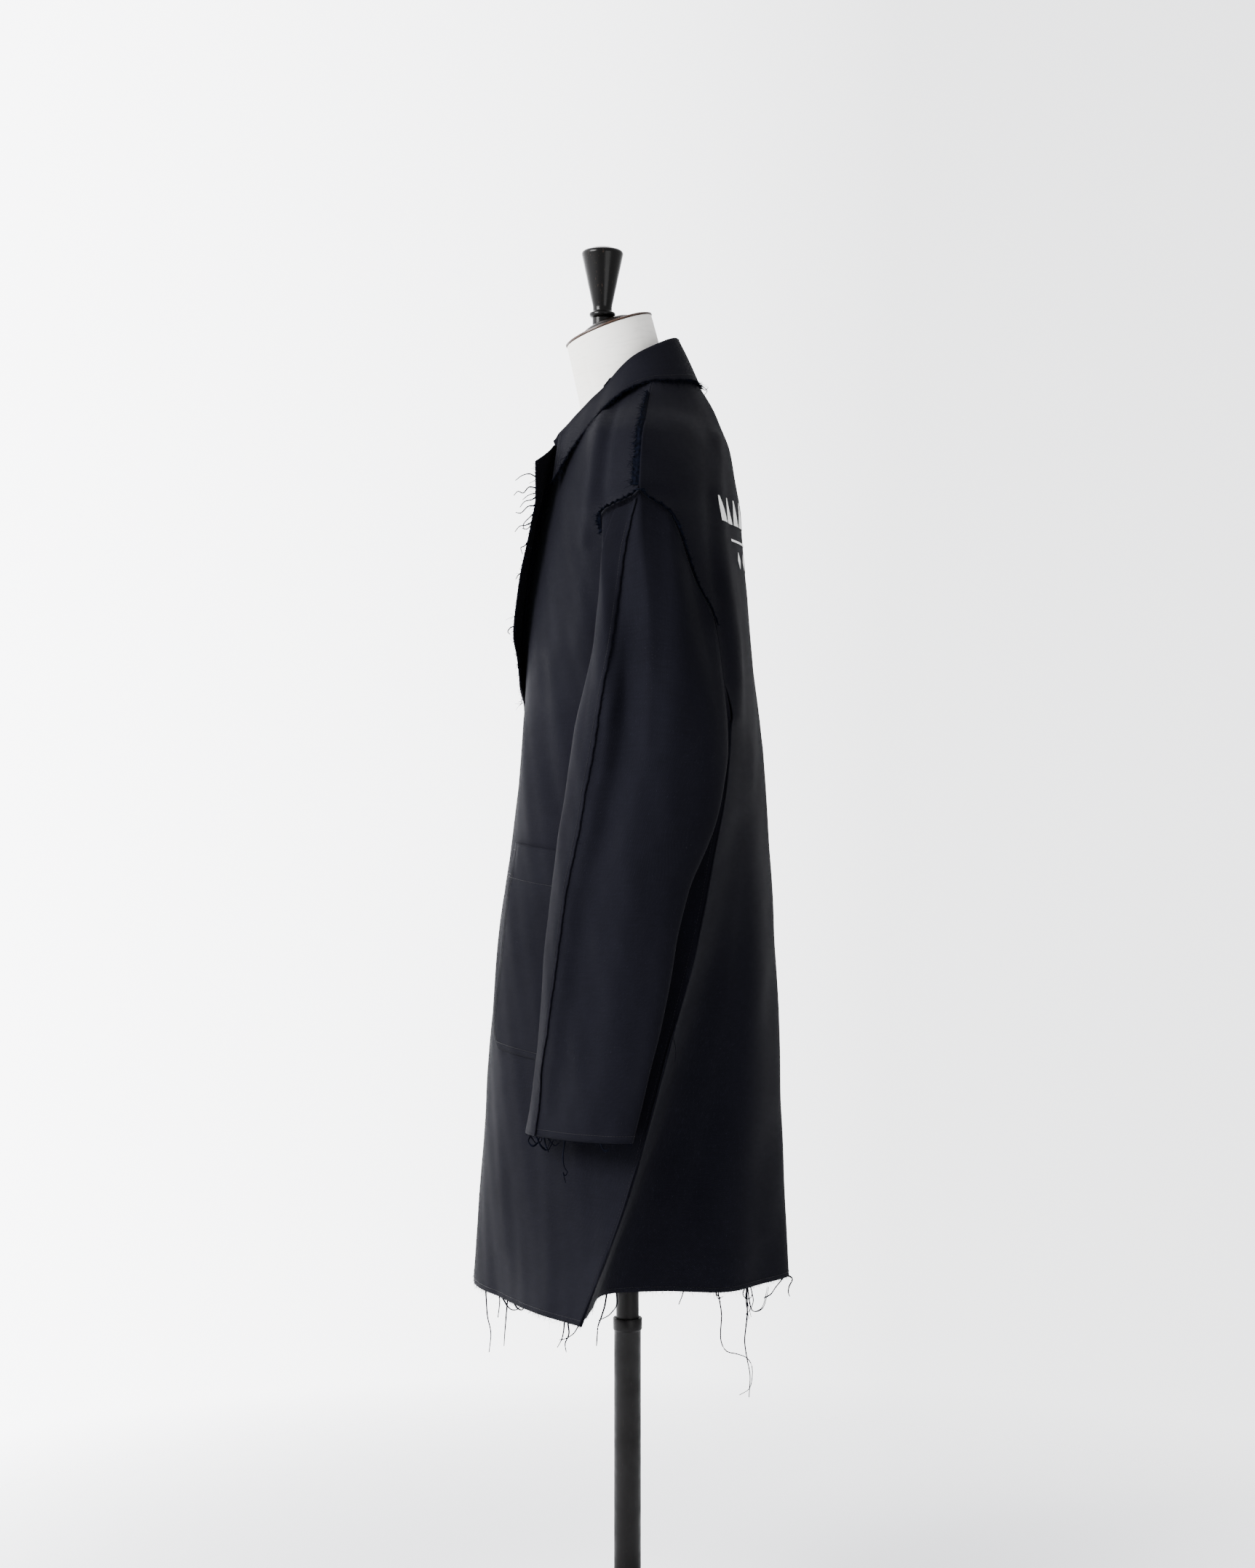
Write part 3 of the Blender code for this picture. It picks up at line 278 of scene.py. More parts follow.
# Creases seen from the side, as lines in Y and Z with how far the cloth stands out and how wide.
# Each acts on one side of the coat, and a mirrored, weaker one on the other.
FRONT_CREASES = (
    (-2.6, 9, ((-104, 1206), (-101, 1157), (-97, 1115), (-93, 1084), (-86, 1044), (-79, 1026))),
    (2.4, 14, ((-88, 1215), (-84, 1160), (-80, 1110), (-72, 1060), (-62, 1020))),
    (-3.4, 6, ((-17, 1503), (-21, 1481), (-26, 1454), (-29, 1427), (-32, 1401), (-31, 1380))),
    (2.6, 7, ((-27, 1500), (-32, 1480), (-38, 1440), (-44, 1395), (-50, 1340))),
    (-1.6, 12, ((-60, 1330), (-70, 1250), (-84, 1180))),
    (1.6, 16, ((-150, 700), (-146, 620), (-150, 520))),
    (-1.5, 18, ((-112, 720), (-108, 610), (-104, 500))),
)
BACK_CREASES = (
    (4.0, 9, ((107, 1480), (109, 1417), (111, 1354), (120, 1266), (125, 1230), (130, 1180), (128, 1140))),
    (-2.5, 8, ((96, 1400), (98, 1340), (108, 1262), (114, 1220), (118, 1180))),
    (2.0, 14, ((150, 1100), (156, 980), (160, 860), (166, 700), (168, 520))),
    (-1.8, 16, ((134, 1010), (136, 880), (134, 760), (130, 600), (126, 480))),
)
SLEEVE_CREASES = (
    (1.8, 9, (
        (14, 1385), (10, 1360), (5, 1330), (1, 1270), (-4, 1238), (-10, 1195), (-15, 1160), (-23, 1135),
    )),
    (-1.6, 8, ((4, 1385), (1, 1340), (-7, 1285), (-14, 1240), (-20, 1190), (-29, 1130), (-37, 1070))),
    (-1.8, 12, ((38, 1370), (40, 1300), (36, 1210), (30, 1110))),
    (1.8, 16, ((60, 1300), (62, 1210), (52, 1110), (44, 1000))),
    (-1.6, 15, ((-20, 1010), (-30, 930), (-44, 830), (-52, 740))),
    (1.5, 14, ((6, 960), (-8, 860), (-22, 760), (-34, 690))),
    (-1.4, 11, ((30, 890), (16, 800), (2, 720))),
)
RIPPLE = (
    # amplitude in mm, then waves per metre along X, Y and Z, then phase
    (0.55, 4.1, 6.3, 2.2, 0.4),
    (0.40, 9.7, 5.1, 6.4, 2.1),
    (0.28, 13.0, 17.0, 4.3, 4.4),
    (0.18, 21.0, 27.0, 11.0, 1.3),
)


def lerp(a, b, t):
    """The point a share t of the way from a to b."""
    return a + (b - a) * t


def smoothstep(low, high, x):
    """0 below low and 1 above high, by the cubic 3tt - 2ttt between them."""
    t = np.clip((x - low) / (high - low), 0, 1)
    return t * t * (3 - 2 * t)


def unit(vectors):
    """The vectors divided by their lengths."""
    return vectors / np.maximum(np.linalg.norm(vectors, axis=-1, keepdims=True), 1e-12)


def along(stations, place, closed=False):
    """Points of a centripetal Catmull-Rom curve through the stations, counted 0, 1, 2 ...

    stations ends in (count, 2 or 3) and its leading shape is the place array's.
    """
    if closed:
        p = np.concatenate([stations[..., -1:, :], stations, stations[..., :2, :]], axis=-2)
        spans = stations.shape[-2]
        place = np.mod(place, spans)
    else:
        before = 2 * stations[..., :1, :] - stations[..., 1:2, :]
        after = 2 * stations[..., -1:, :] - stations[..., -2:-1, :]
        p = np.concatenate([before, stations, after], axis=-2)
        spans = stations.shape[-2] - 1
    i = np.clip(np.floor(place).astype(int), 0, spans - 1)
    near = [np.take_along_axis(p, (i + k)[..., None, None], axis=-2)[..., 0, :] for k in range(4)]
    knots = [np.zeros((*near[0].shape[:-1], 1))]
    for a, b in zip(near, near[1:]):
        knots.append(knots[-1] + np.maximum(np.linalg.norm(b - a, axis=-1, keepdims=True), 1e-9) ** 0.5)
    t = lerp(knots[1], knots[2], (place - i)[..., None])
    for span in (1, 2):
        pairs = enumerate(zip(near, near[1:]))
        near = [lerp(a, b, (t - knots[k]) / (knots[k + span] - knots[k])) for k, (a, b) in pairs]
    return lerp(*near, (t - knots[1]) / (knots[2] - knots[1]))


def lengths(points):
    """How far along a row of points each of them lies."""
    return np.concatenate([[0], np.cumsum(np.linalg.norm(np.diff(points, axis=0), axis=1))])


def right_swing(x, height):
    """The right side's fold hangs a little further back than the left one's, more so lower down."""
    return RIGHT_SWING * smoothstep(UNDERARM, HEM, height) * smoothstep(*SWING_ACROSS, x)


def with_height(plan, height):
    """Plan points with their heights as Z."""
    return np.concatenate([plan, height[..., None]], axis=-1)


def to_side(points, side):
    """The points, mirrored in X for the right side."""
    return points * np.array((SIDES[side], 1, 1))


def ripple(points):
    """Slight unevenness of hanging cloth: the sum of a few sine waves that run in different ways."""
    height = np.zeros(points.shape[:-1])
    for size, kx, ky, kz, phase in RIPPLE:
        wave = points[..., 0] * kx + points[..., 1] * ky + points[..., 2] * kz
        height += size * MM * np.sin(2 * math.pi * wave + phase)
    return height


def line_distance(y, z, line):
    """The distance from each point to the nearest place on a line of straight stretches."""
    nearest = np.full(y.shape, 1e9)
    for (y0, z0), (y1, z1) in zip(line[:-1], line[1:]):
        dy, dz = y1 - y0, z1 - z0
        t = np.clip(((y - y0) * dy + (z - z0) * dz) / (dy * dy + dz * dz), 0, 1)
        nearest = np.minimum(nearest, np.hypot(y - y0 - t * dy, z - z0 - t * dz))
    return nearest


def under_collar(points):
    """Points raised under the collar's edge, by a bell curve of the distance from its line."""
    away = line_distance(points[..., 1] / MM, points[..., 2] / MM, COLLAR_LINE) / COLLAR_LINE_WIDTH
    points[..., 2] += COLLAR_LINE_RISE * np.exp(-(away**2))
    return points


def creases(points, table, strength=1.0):
    """How far the cloth stands out: for each crease, its height times a bell curve of the distance."""
    height = ripple(points)
    y, z = points[..., 1] / MM, points[..., 2] / MM
    for depth, width, line in table:
        height += strength * depth * MM * np.exp(-((line_distance(y, z, line) / width) ** 2))
    return height


class Cloth:
    """A piece of cloth as a function of two numbers, with its creases raised along its normal."""

    def __init__(self, bare, table=(), strength=1.0, flip=False):
        self.bare = bare
        self.table = table
        self.strength = strength
        self.flip = flip

    def normal(self, across, up):
        """The outward normal, from the steps to near points across and up the cloth."""
        reach = 1e-3
        rise = self.bare(across, up + reach) - self.bare(across, up - reach)
        run = self.bare(across + reach, up) - self.bare(across - reach, up)
        normal = unit(np.cross(run, rise))
        return -normal if self.flip else normal

    def at(self, across, up, lift=0.0):
        """Points of the creased cloth, lifted off it."""
        across, up = np.broadcast_arrays(np.asarray(across, float), np.asarray(up, float))
        points = self.bare(across, up)
        raised = creases(points, self.table, self.strength) + lift
        return points + self.normal(across, up) * raised[..., None]


def front_bare(side):
    """The front at a station count and a height: a smooth curve through its stations in plan.

    The right one follows the left one's inside near the centre, deeper by the underlap.
    """

    def point(place, height):
        """A point of this side's front."""
        stations = FRONT.stations(height)
        if side == "left":
            return under_collar(with_height(along(stations, place), height))
        over = stations.copy()
        roll = smoothstep(BREAK["left"], BREAK["right"], height) * (1 - smoothstep(*ROLLS_MEET, height))
        stations[..., 0, 0] += RIGHT_ROLL_SHIFT * roll
        plan = along(stations, place)
        plan[..., 1] += right_swing(plan[..., 0], height)
        across = np.clip(-plan[..., 0], -UNDERLAP_REACH, UNDERLAP_REACH)
        step = over_depth(over, across) - over_depth(over, -across)
        under = (1 - smoothstep(*UNDERLAP_FADE, plan[..., 0])) * (1 - smoothstep(*UNDERLAP_TOP, height))
        plan[..., 1] += (UNDERLAP_DEPTH + step) * under
        return to_side(under_collar(with_height(plan, height)), side)

    return point


def over_depth(stations, x):
    """The left front's Y where its X is given, near its front edge."""
    start, end = stations[..., 0, 0], stations[..., 1, 0]
    return along(stations, np.clip((x - start) / (end - start), 0, 1))[..., 1]


def back_bare(place, height):
    """The back from the left side seam (0) past the centre (6) to the right one (12)."""
    stations = BACK.stations(height)
    mirrored = stations[..., -2::-1, :] * np.array((-1, 1))
    plan = along(np.concatenate([stations, mirrored], axis=-2), place)
    out = abs(plan[..., 0])
    plan[..., 1] += np.where(place > BACK_CENTRE, right_swing(out, height), 0)
    rise = NAPE_RISE * smoothstep(*NAPE_RISES, height)
    toward_nape = 1 - np.clip(out / stations[..., 0, 0], 0, 1)
    return under_collar(with_height(plan, height + rise * smoothstep(0, 1, toward_nape)))


def lapel_bare(side):
    """The lapel from its roll (0) to its outer edge (6): round the roll, then out with a slight sag."""
    front = front_bare(side)

    def point(place, height):
        """A point of this side's lapel."""
        roll = to_side(front(np.zeros_like(height), height), side)
        sizes = LAPEL.at(height)
        edge = np.stack([sizes["edge_x"], sizes["edge_y"] + CLOTH_WALL, sizes["height"]], axis=-1)
        if side == "right":
            grown = smoothstep(BREAK["right"], RIGHT_LAPEL_FULL, height)
            edge[..., 0] = lerp(roll[..., 0] + 2 * MM, edge[..., 0], grown)
            edge[..., 2] = lerp(height, edge[..., 2], grown)
        turned = [roll]
        for x, y in LAPEL_TURN:
            turned.append(roll + np.array((x * ROLL_RADIUS, y * ROLL_RADIUS, 0)))
        for t in LAPEL_PLACES:
            sag = np.array((0, LAPEL_SAG * math.sin(math.pi * t), 0))
            turned.append(lerp(turned[2], edge, t) + sag)
        return to_side(along(np.stack(turned, axis=-2), place), side)

    return point


def sleeve_ring(place, height):
    """The hanging sleeve's closed section: points off a flat line by its fullness, joined smoothly."""
    size = SLEEVE.at(height)
    front = np.stack([size["front_x"], size["front_y"]], axis=-1)
    back = np.stack([size["back_x"], size["back_y"]], axis=-1)
    line = back - front
    outward = unit(np.stack([line[..., 1], -line[..., 0]], axis=-1))
    stations = []
    for k, (share, fullness) in enumerate(SLEEVE_RING):
        depth = size["out"] if fullness > 0 else size["in"]
        if k == GROOVE_STATION:
            depth = depth * size["groove"] / (100 * MM)
        stations.append(front + line * share / 100 + outward * (depth * fullness / 100)[..., None])
    return with_height(along(np.stack(stations, axis=-2), place, closed=True), height)


def armhole_edge():
    """The open edge that the left front and the back leave, as points at even steps of its length."""
    heights = np.linspace(UNDERARM, SHOULDER_TIP, 160)
    behind = back_bare(np.zeros_like(heights), heights)[::-1]
    before = front_bare("left")(np.full_like(heights, FRONT_END), heights)
    edge = np.vstack([behind, before[1:]])
    share = lengths(edge)
    return share / share[-1], edge


ARMHOLE_SHARE, ARMHOLE_EDGE = armhole_edge()


def armhole_point(place):
    """The sleeve's top at a station count: the armhole's edge, drawn in towards its middle."""
    share = np.interp(np.mod(place, SLEEVE_STATIONS), np.arange(len(ARMHOLE_PLACES)), ARMHOLE_PLACES) / 100
    point = np.stack([np.interp(share, ARMHOLE_SHARE, ARMHOLE_EDGE[:, k]) for k in range(3)], axis=-1)
    centre = ARMHOLE_EDGE.mean(axis=0)
    return point + unit(centre - point) * SLEEVE_INSET + np.array((SLEEVE_STANDS_OUT, 0, 0))


def sleeve_bare(side):
    """The sleeve at a station count and a level: 0 is the cuff, 1 its full width, 2 the armhole.

    Above 1 each line is a cubic that leaves the hanging part along its own slope and runs into the
    armhole, bulged outwards by a sine.
    """

    def point(place, level):
        """A point of this side's sleeve."""
        height = lerp(CUFF, SLEEVE_FULL, np.clip(level, -0.1, 1))
        hanging = sleeve_ring(place, height)
        t = np.clip(level - 1, 0, 1.02)[..., None]
        full = sleeve_ring(place, np.full_like(height, SLEEVE_FULL))
        below = sleeve_ring(place, np.full_like(height, SLEEVE_FULL - 10 * MM))
        top = armhole_point(place)
        rise = top[..., 2:] - full[..., 2:]
        leave = (full - below) / (10 * MM) * rise
        points = cubic(full, leave, top, top - full, t)
        inmost, outmost = SLEEVE_FULL_BOX
        outer = np.clip((2 * full[..., 0] - inmost - outmost) / (outmost - inmost), 0, 1)
        points[..., 0] += SLEEVE_CAP_BULGE * np.sin(math.pi * np.clip(t[..., 0], 0, 1)) * outer
        return to_side(np.where(level[..., None] > 1, points, hanging), side)

    return point


def sleeve_width_at_full():
    """The least and the greatest X of the sleeve's section at its full width."""
    places = np.linspace(0, SLEEVE_STATIONS, 10 * SLEEVE_STATIONS + 1)
    x = sleeve_ring(places, np.full_like(places, SLEEVE_FULL))[:, 0]
    return x.min(), x.max()


SLEEVE_FULL_BOX = sleeve_width_at_full()


def collar_bare(place, across):
    """The collar at a place, 7 at the nape and 0 and 14 at its corners, from seat (0) to edge (6).

    Its seat, crease and edge are smooth curves round the neck, and its section is a smooth curve
    through points between them. Below the seat it runs down inside the neck seam, to -1.
    """
    half = np.array(COLLAR, float) * MM
    mirror = np.tile((-1, 1, 1), 3)
    whole = np.concatenate([half[:0:-1] * mirror, half])
    lines = along(np.broadcast_to(whole, place.shape + whole.shape), place)
    seat, crease, edge = lines[..., 0:3], lines[..., 3:6], lines[..., 6:9]
    out = unit((edge - crease) * np.array((1, 1, 0)))
    tuck = smoothstep(0, 3, COLLAR_END / 2 - abs(COLLAR_END / 2 - place))[..., None]
    down = np.array((0, 0, 1)) * lerp(1.5 * MM, COLLAR_TUCK[1], tuck)
    section = [seat + out * COLLAR_TUCK[0] * tuck - down]
    for part, share, off, up in COLLAR_ACROSS:
        start, end = (seat, crease) if part == "stand" else (crease, edge)
        section.append(lerp(start, end, share) + out * off * MM + np.array((0, 0, up * MM)))
    return along(np.stack(section, axis=-2), across + 1)


def grid_quads(rows, columns, around=False):
    """Quads of a grid of points, wound so that they face out where columns run to the wearer's left."""
    i, j = np.meshgrid(np.arange(rows - 1), np.arange(columns if around else columns - 1), indexing="ij")
    a = i * columns + j
    b = i * columns + (j + 1) % columns
    return np.stack([a, b, b + columns, a + columns], axis=-1).reshape(-1, 4)


def grid_uv(points, around=False):
    """Corner coordinates in metres of cloth: the mean lengths across the rows and up the columns."""
    ring = np.concatenate([points, points[:, :1]], axis=1) if around else points
    u = np.concatenate([[0], np.cumsum(np.linalg.norm(np.diff(ring, axis=1), axis=-1).mean(axis=0))])
    v = np.concatenate([[0], np.cumsum(np.linalg.norm(np.diff(points, axis=0), axis=-1).mean(axis=1))])
    i, j = np.meshgrid(np.arange(len(v) - 1), np.arange(len(u) - 1), indexing="ij")
    corners = [(u[j], v[i]), (u[j + 1], v[i]), (u[j + 1], v[i + 1]), (u[j], v[i + 1])]
    return np.stack([np.stack(c, axis=-1) for c in corners], axis=-2).reshape(-1, 4, 2)


def tube_quads(count, rings):
    """Quads of square tubes, each of so many rings of four points, closed at both ends."""
    ends = [(3, 2, 1, 0), np.arange(4) + 4 * (rings - 1)]
    quads = np.vstack([grid_quads(rings, 4, around=True), ends])
    return (quads[None] + (np.arange(count) * rings * 4)[:, None, None]).reshape(-1, 4)


def point_normals(points, quads):
    """The mean of the normals of the quads that meet at each point, larger quads counting more."""
    a, b, c, d = (points[quads[:, k]] for k in range(4))
    face = np.cross(c - a, d - b)
    normals = np.zeros_like(points)
    for k in range(4):
        np.add.at(normals, quads[:, k], face)
    return unit(normals)


def put_mesh(name, points, quads, uv=None, smooth=True):
    """A mesh object at the origin from arrays of points, quads and corner coordinates."""
    mesh = bpy.data.meshes.new(name)
    mesh.vertices.add(len(points))
    mesh.vertices.foreach_set("co", np.asarray(points, np.float32).ravel())
    mesh.loops.add(len(quads) * 4)
    mesh.loops.foreach_set("vertex_index", np.asarray(quads, np.int32).ravel())
    mesh.polygons.add(len(quads))
    mesh.polygons.foreach_set("loop_start", np.arange(0, len(quads) * 4, 4, dtype=np.int32))
    mesh.polygons.foreach_set("use_smooth", np.full(len(quads), smooth))
    if uv is not None:
        layer = mesh.uv_layers.new(name="cloth")
        layer.data.foreach_set("uv", np.asarray(uv, np.float32).ravel())
    mesh.update()
    mesh.validate()
    piece = bpy.data.objects.new(name, mesh)
    bpy.context.scene.collection.objects.link(piece)
    return piece


def walled(points, quads, uv, thickness):
    """A closed wall: the given outer face, an inner face set in along its normals, and a rim.

    The rim runs along every edge that only one quad uses.
    """
    count = len(points)
    inner = points - point_normals(points, quads) * thickness
    starts = quads.ravel()
    ends = np.roll(quads, -1, axis=1).ravel()
    lonely = ~np.isin(starts * count + ends, ends * count + starts)
    a, b = starts[lonely], ends[lonely]
    rim = np.stack([b, a, a + count, b + count], axis=-1)
    uv_a = uv.reshape(-1, 2)[lonely]
    uv_b = np.roll(uv, -1, axis=1).reshape(-1, 2)[lonely]
    rim_uv = np.stack([uv_b, uv_a, uv_a, uv_b], axis=1)
    all_quads = np.concatenate([quads, quads[:, ::-1] + count, rim])
    return np.vstack([points, inner]), all_quads, np.concatenate([uv, uv[:, ::-1], rim_uv])


def belongs(piece, finish, slot, *nodes):
    """Gives a piece its material and its body, and hides the solids that it stands for; the slot is not
    used.
    """
    piece.data.materials.append(material(finish))
    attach(piece, "root")
    if nodes:
        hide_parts(*nodes)


def sew(name, points, node, side="left", wall=None, finish="black twill",
        around=False, keep=None):
    """A thick piece of cloth from a grid of outer points.

    keep says which quads of the grid are cloth. On the right side the grid runs the other way. The
    flat size is the longest row and column, and the area is the sum of the quads.
    """
    quads = grid_quads(*points.shape[:2], around)
    uv = grid_uv(points, around)
    if keep is not None:
        quads, uv = quads[keep.ravel()], uv[keep.ravel()]
    if side == "right":
        quads, uv = quads[:, ::-1], uv[:, ::-1]
    used, index = np.unique(quads, return_inverse=True)
    flat, quads = points.reshape(-1, 3)[used], index.reshape(quads.shape)
    a, b, c, d = (flat[quads[:, k]] for k in range(4))
    area = 0.5 * np.linalg.norm(np.cross(c - a, d - b), axis=1).sum()
    wide, tall = np.ptp(uv, axis=(0, 1))
    piece = put_mesh(name, *walled(flat, quads, uv, wall or cloth_settings().wall))
    belongs(piece, finish, "coat_cloth", node)
    wide = max(wide, area / tall * SHEET_MARGIN)


def walk(cloth, across, up, lift, fineness, pitch, even):
    """Steps along a path on a cloth: its two numbers, points, the way along and normals there.

    across and up are the path's corners in the cloth's own two numbers, and a number alone is the
    same all along. The path is read densely between them and resampled by its length, at the pitch
    or, where the steps are even, at the nearest one that fills the path.
    """
    across, up = np.broadcast_arrays(across, up)
    share = np.linspace(0, len(across) - 1, fineness * (len(across) - 1) + 1)
    a = np.interp(share, np.arange(len(across)), across)
    b = np.interp(share, np.arange(len(up)), up)
    length = lengths(cloth.at(a, b, lift))
    count = max(int(length[-1] / pitch), 2) + 1
    wanted = np.linspace(0, length[-1], count) if even else np.arange(0, length[-1], pitch)
    a, b = np.interp(wanted, length, a), np.interp(wanted, length, b)
    points = cloth.at(a, b, lift)
    return a, b, points, unit(np.gradient(points, axis=0)), cloth.normal(a, b)


def spindles(centre, along_way, side_way, up_way, length, width, height):
    """Spindles with four rings each: a diamond either side of the middle, and a small one at each end."""
    ring = [side_way * width / 2, up_way * height / 2, -side_way * width / 2, -up_way * height / 2]
    points = [
        centre + along_way * (length / 2) * end + offset * scale
        for end, scale in ((-1, 0.25), (-0.45, 1.0), (0.45, 1.0), (1, 0.25))
        for offset in ring
    ]
    return np.stack(points, axis=1).reshape(-1, 3), tube_quads(len(centre), 4)


def strands(points, width):
    """Thin square strands along rows of points (strand, point, 3), tapering to the far end."""
    count, steps = points.shape[:2]
    way = unit(np.gradient(points, axis=1))
    helper = np.where(abs(way[..., 2:]) > 0.9, np.array((1.0, 0, 0)), np.array((0, 0, 1.0)))
    side = unit(np.cross(way, helper))
    up = np.cross(side, way)
    taper = np.linspace(1, 0.55, steps)[None, :, None] * width / 2
    offsets = (side * taper, up * taper, -side * taper, -up * taper)
    ring = np.stack([points + offset for offset in offsets], axis=2)
    return ring.reshape(-1, 3), tube_quads(count, steps)


class Gathered:
    """Points and quads that end up in one mesh."""

    def __init__(self):
        self.points, self.quads, self.count = [], [], 0

    def add(self, points, quads):
        """Takes up more points and the quads between them."""
        self.points.append(points)
        self.quads.append(quads + self.count)
        self.count += len(points)

    def strand(self, curve, width):
        """Takes up one thread of a width in millimetres."""
        self.add(*strands(curve[None], width * MM))

    def put(self, name, finish, slot, *nodes, smooth=True):
        """Makes the one mesh a piece."""
        mesh = put_mesh(name, np.vstack(self.points), np.vstack(self.quads), smooth=smooth)
        belongs(mesh, finish, slot, *nodes)


class Nodes:
    """A shader's node tree with short ways to add to it."""

    def __init__(self, tree):
        self.tree = tree

    def feed(self, socket, value):
        """Links an input, or sets it; a colour comes without its fourth number."""
        if isinstance(value, bpy.types.NodeSocket):
            self.tree.links.new(value, socket)
        else:
            socket.default_value = (*value, 1) if socket.type == "RGBA" else value

    def add(self, kind, inputs=(), **settings):
        """A node with its settings, and its inputs by name or number."""
        made = self.tree.nodes.new(kind)
        for key, value in settings.items():
            setattr(made, key, value)
        for key, value in dict(inputs).items():
            self.feed(made.inputs[key], value)
        return made

    def maths(self, operation, *values):
        """What an operation makes of sockets or numbers."""
        return self.add("ShaderNodeMath", enumerate(values), operation=operation).outputs[0]

    def times(self, one, other):
        """The product of two values."""
        return self.maths("MULTIPLY", one, other)

    def ranged(self, value, low, high, to_low=0.0, to_high=1.0):
        """How far a value is from low to high, as a number from one to another."""
        inputs = enumerate((value, low, high, to_low, to_high))
        return self.add("ShaderNodeMapRange", inputs).outputs[0]

    def mixed(self, mask, low, high):
        """A colour between two, by a mask from 0 to 1."""
        return self.add("ShaderNodeMix", {0: mask, 6: low, 7: high}, data_type="RGBA").outputs[2]

    def noise(self, where, scale, detail, stretch=None, **more):
        """A soft noise of a place, which may be stretched first."""
        if stretch:
            where = self.add("ShaderNodeMapping", {"Vector": where, "Scale": stretch}).outputs[0]
        inputs = {"Vector": where, "Scale": scale, "Detail": detail, **more}
        return self.add("ShaderNodeTexNoise", inputs).outputs[0]

    def place(self):
        """The place in the piece's own frame."""
        return self.add("ShaderNodeTexCoord").outputs["Object"]

    def cloth(self):
        """The place on the cloth as it lies flat, in metres."""
        return self.add("ShaderNodeUVMap", uv_map="cloth").outputs[0]

    def split(self, vector):
        """A vector's three parts."""
        return self.add("ShaderNodeSeparateXYZ", {"Vector": vector}).outputs


def twill(nodes, given):
    """Fine twill: ribs are sines of a slanted sum of the cloth's two lengths, broken by yarn noise.

    Yarn noise is stretched along the warp, and wear is a broad noise of the place in the coat.
    """
    cloth = nodes.cloth()
    across, up = nodes.split(cloth)[:2]
    slant = nodes.maths("ADD", across, nodes.times(up, 0.5))
    rib = nodes.maths("SINE", nodes.times(nodes.times(slant, given["Ribs per metre"]), 2 * math.pi))
    warp = nodes.noise(cloth, 900.0, 2.0, stretch=(1.0, 0.06, 1.0))
    weft = nodes.noise(cloth, 700.0, 2.0, stretch=(0.05, 1.0, 1.0))
    wear = nodes.noise(nodes.place(), 5.0, 4.0, Roughness=0.55)
    tone = nodes.times(nodes.maths("ADD", warp, weft), 0.5)
    height = nodes.maths("ADD", nodes.times(rib, 0.5), nodes.times(tone, given["Yarn"]))
    return height, tone, wear


def specks(nodes, given):
    """Lint and dust: the brightest spots of a fine noise, thinned out by a broad one."""
    place = nodes.place()
    spots = nodes.ranged(nodes.noise(place, given["Scale"], 1.0), 0.70, 0.78)
    parts = nodes.ranged(nodes.noise(place, 14.0, 2.0), 0.45, 0.65)
    return (nodes.times(nodes.times(spots, parts), given["Amount"]),)


def weave(nodes, given):
    """Plain weave of the canvas: the product of sines along and across, with slubs from a noise."""
    cloth = nodes.cloth()
    split = nodes.split(cloth)
    turns = nodes.times(given["Threads per metre"], math.pi)
    waves = [nodes.maths("SINE", nodes.times(split[k], turns)) for k in (0, 1)]
    return nodes.times(*waves), nodes.noise(cloth, 260.0, 3.0, stretch=(0.08, 1.0, 1.0))


def handling(nodes, given):
    """Wear of a handled hard finish: soft blotches, and short fine scratches from a stretched noise."""
    place = nodes.place()
    scratch = nodes.noise(place, 90.0, 2.0, stretch=(9.0, 9.0, 0.9))
    return nodes.noise(place, given["Scale"], 4.0), nodes.ranged(scratch, 0.66, 0.74)


# Each effect's name, how it is made, its inputs with their usual values, and its outputs
EFFECTS = {
    "Twill": (twill, {"Ribs per metre": 900.0, "Yarn": 0.5}, ("Height", "Yarn tone", "Wear")),
    "Specks": (specks, {"Scale": 600.0, "Amount": 0.25}, ("Mask",)),
    "Plain weave": (weave, {"Threads per metre": 900.0}, ("Height", "Slub")),
    "Handling": (handling, {"Scale": 30.0}, ("Blotch", "Scratch")),
}


def effect_group(name):
    """The node group of that name with number inputs and outputs, made when it is first asked for."""
    found = bpy.data.node_groups.get(name)
    if found:
        return found
    make, inputs, outputs = EFFECTS[name]
    tree = bpy.data.node_groups.new(name, "ShaderNodeTree")
    for label, default in inputs.items():
        socket = tree.interface.new_socket(name=label, in_out="INPUT", socket_type="NodeSocketFloat")
        socket.default_value = default
    for label in outputs:
        tree.interface.new_socket(name=label, in_out="OUTPUT", socket_type="NodeSocketFloat")
    nodes = Nodes(tree)
    given = nodes.add("NodeGroupInput").outputs
    results = nodes.add("NodeGroupOutput").inputs
    for socket, value in zip(results, make(nodes, given)):
        tree.links.new(value, socket)
    return tree


def tinted(colour, share):
    """A colour times a number, or times one number for each of its parts."""
    return tuple(np.multiply(colour, share).tolist())


